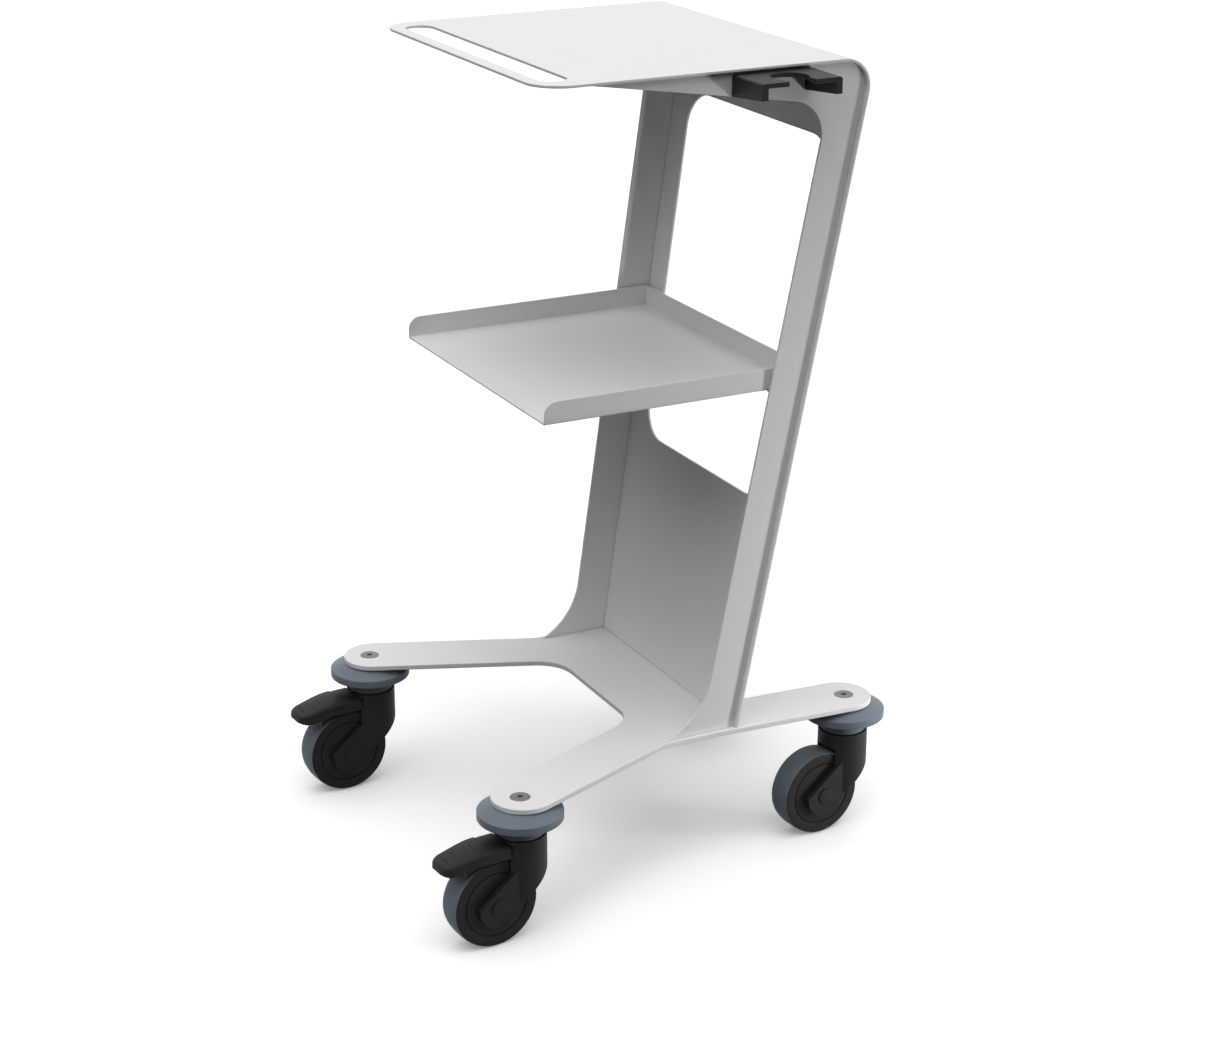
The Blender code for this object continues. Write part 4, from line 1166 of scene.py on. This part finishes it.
def pedal_cuts():
    yield "DIFFERENCE", along_z(crown_room, under, PEDAL_TOP_Z + PAST)
    yield "DIFFERENCE", along_x(ahead(room), -PEDAL_ROOM_HALF, PEDAL_ROOM_HALF)
    yield "UNION", along_x(ahead(tongue), -TONGUE_HALF, TONGUE_HALF)
    yield "DIFFERENCE", rod(PIN_R + GAP, CROWN_R, *PIN, segments=32)


for corner in CORNERS[:2]:
    pedal = caster_piece("pedal", pedal_loft(), black_nylon, corner, "brake", ["brake_pedal"])
    for operation, bm in pedal_cuts():
        bm.transform(Matrix.Rotation(CASTER_TURN, 4, "Z"))
        cut(pedal, bm, operation)
    print(pedal.name, len(pedal.data.polygons), "faces")

# %% [markdown]
# ## Small parts from the frame
# Screws, studs, bearings and pins are so small or so far inside that the CAD solids serve as they are.
# They only need a finish.

# %% Give the carried-over parts a finish
done = {node for obj in pieces.values() for node in obj["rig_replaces"]}
for name, obj in frame["nodes"].items():
    if name in done:
        continue
    obj.data.materials.clear()
    obj.data.materials.append(black_nylon if name.endswith(("brake_shoe", "pedal_pin")) else zinc)
print("carried over:", len(frame["nodes"]) - len(done), "parts")

# %% [markdown]
# ## Studio
# The photograph is a product shot on white, in a studio that is otherwise dark: the ground throws little
# light back up, so the inside of the trolley stays deep in shade. One switch does both. Camera, mirror
# and glass rays see white paper, and all the others meet a darker floor that throws less light around.

# %% A switch for what the camera sees
PAPER = 0.95
PAPER_GLOW = 0.18
DARK_FLOOR = 0.04
DARK_WORLD = 0.0
FLOOR_SIZE = 60


def seen_or_not(tree, seen, unseen):
    """One grey for camera, mirror and glass rays and another for all the rest."""
    ray = Wire(tree).node("ShaderNodeLightPath", out="Is Camera Ray")
    mask = ray + ray.output("Is Glossy Ray") + ray.output("Is Transmission Ray")
    sockets = {0: mask, 6: (unseen, unseen, unseen, 1), 7: (seen, seen, seen, 1)}
    return mask.node("ShaderNodeMix", {"data_type": "RGBA"}, sockets, out=2).socket


print("floor shows", PAPER, "and gives back", DARK_FLOOR)

# %% [markdown]
# The floor is one big plane. It keeps the trolley's shadow, because the paper is lit like anything else
# and only glows a little on top of that, until the open floor reads white.

# %% Floor and backdrop
floor_material = bpy.data.materials.new("studio_floor")
floor_material.use_nodes = True
tree = floor_material.node_tree
shader = tree.nodes["Principled BSDF"]
shader.inputs["Roughness"].default_value = 0.9
shader.inputs["Specular IOR Level"].default_value = 0.0
shader.inputs["Emission Strength"].default_value = 1.0
tree.links.new(seen_or_not(tree, PAPER, DARK_FLOOR), shader.inputs["Base Color"])
tree.links.new(seen_or_not(tree, PAPER_GLOW, 0.0), shader.inputs["Emission Color"])
bpy.ops.mesh.primitive_plane_add(size=FLOOR_SIZE, location=(0, 0, 0))
floor = bpy.context.object
floor.name = "studio_floor"
floor.data.materials.append(floor_material)
floor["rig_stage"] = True

world = bpy.data.worlds.new("studio")
bpy.context.scene.world = world
world.use_nodes = True
tree = world.node_tree
tree.links.new(seen_or_not(tree, 1.0, DARK_WORLD), tree.nodes["Background"].inputs["Color"])
print("floor", tuple(round(v, 1) for v in floor.dimensions), "m")

# %% [markdown]
# All lamps but one are suns, which light every part of the floor alike. A wide one overhead is the
# ceiling's soft light, a narrower one gives the floor its soft shadows, and weaker ones stand high on the
# camera's side, low in front and low at the left. The last lamp is a small panel near the floor, behind
# and to the right: it lights the right plate more at its foot than at its head.


# %% Lamps
def sun(name, strength, azimuth, elevation, angle):
    """A distant light. Its angle is how wide it looks, which sets how soft its shadows are."""
    data = bpy.data.lights.new(name, "SUN")
    data.energy = strength
    data.angle = math.radians(angle)
    obj = bpy.data.objects.new(name, data)
    obj.rotation_euler = (math.radians(90 - elevation), 0, math.radians(azimuth))
    bpy.context.scene.collection.objects.link(obj)
    return obj


def panel(name, power, azimuth, distance, height, size):
    """A square panel that looks at the foot of the trolley from the side."""
    data = bpy.data.lights.new(name, "AREA")
    data.energy = power
    data.size = size
    obj = bpy.data.objects.new(name, data)
    turn = math.radians(azimuth)
    obj.location = ORIGIN + Vector((distance * math.sin(turn), -distance * math.cos(turn), height))
    obj.rotation_euler = (math.radians(90), 0, turn)
    obj.visible_camera = False
    bpy.context.scene.collection.objects.link(obj)
    return obj


sun("ceiling", 1.90, azimuth=0, elevation=90, angle=120)
sun("overhead", 0.44, azimuth=0, elevation=90, angle=40)
sun("camera_side", 0.76, azimuth=60, elevation=68, angle=45)
sun("low_front", 0.28, azimuth=24, elevation=30, angle=30)
sun("left", 0.22, azimuth=275, elevation=8, angle=40)
panel("side_panel", 8.5, azimuth=145, distance=1.25, height=0.11, size=0.20)
print("lamps:", [light.name for light in bpy.data.lights])

# %% [markdown]
# The camera stands where the photographer's stood: to the right of the open front and above it, with a
# long lens. Its place was worked out from the photograph's straight edges and circles.

# %% Camera
CAMERA_PLACE = (2.42885, -1.25408, 1.39165)
CAMERA_AZIMUTH = math.radians(63.0)
CAMERA_DOWN = math.radians(20.65)
LENS_MM, SENSOR_MM = 76.55, 36.0
camera_data = bpy.data.cameras.new("camera")
camera_data.sensor_width = SENSOR_MM
camera_data.sensor_fit = "HORIZONTAL"
camera_data.lens = LENS_MM
camera_data.clip_end = 100
camera = bpy.data.objects.new("camera", camera_data)
camera.location = ORIGIN + Vector(CAMERA_PLACE)
camera.rotation_euler = (math.pi / 2 - CAMERA_DOWN, 0, CAMERA_AZIMUTH)
bpy.context.scene.collection.objects.link(camera)
bpy.context.scene.camera = camera
bpy.context.scene.view_settings.view_transform = "Standard"
print("camera", round((camera.location - ORIGIN).length, 2), "m away")

# %% [markdown]
# The last cell compares the overall size of the finished pieces with that of the model.

# %% Measure and finish
visual_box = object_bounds()
for label, box in (("cad", cad_box), ("visual", visual_box)):
    print(label, [round(1000 * (high - low), 1) for low, high in zip(*box)])
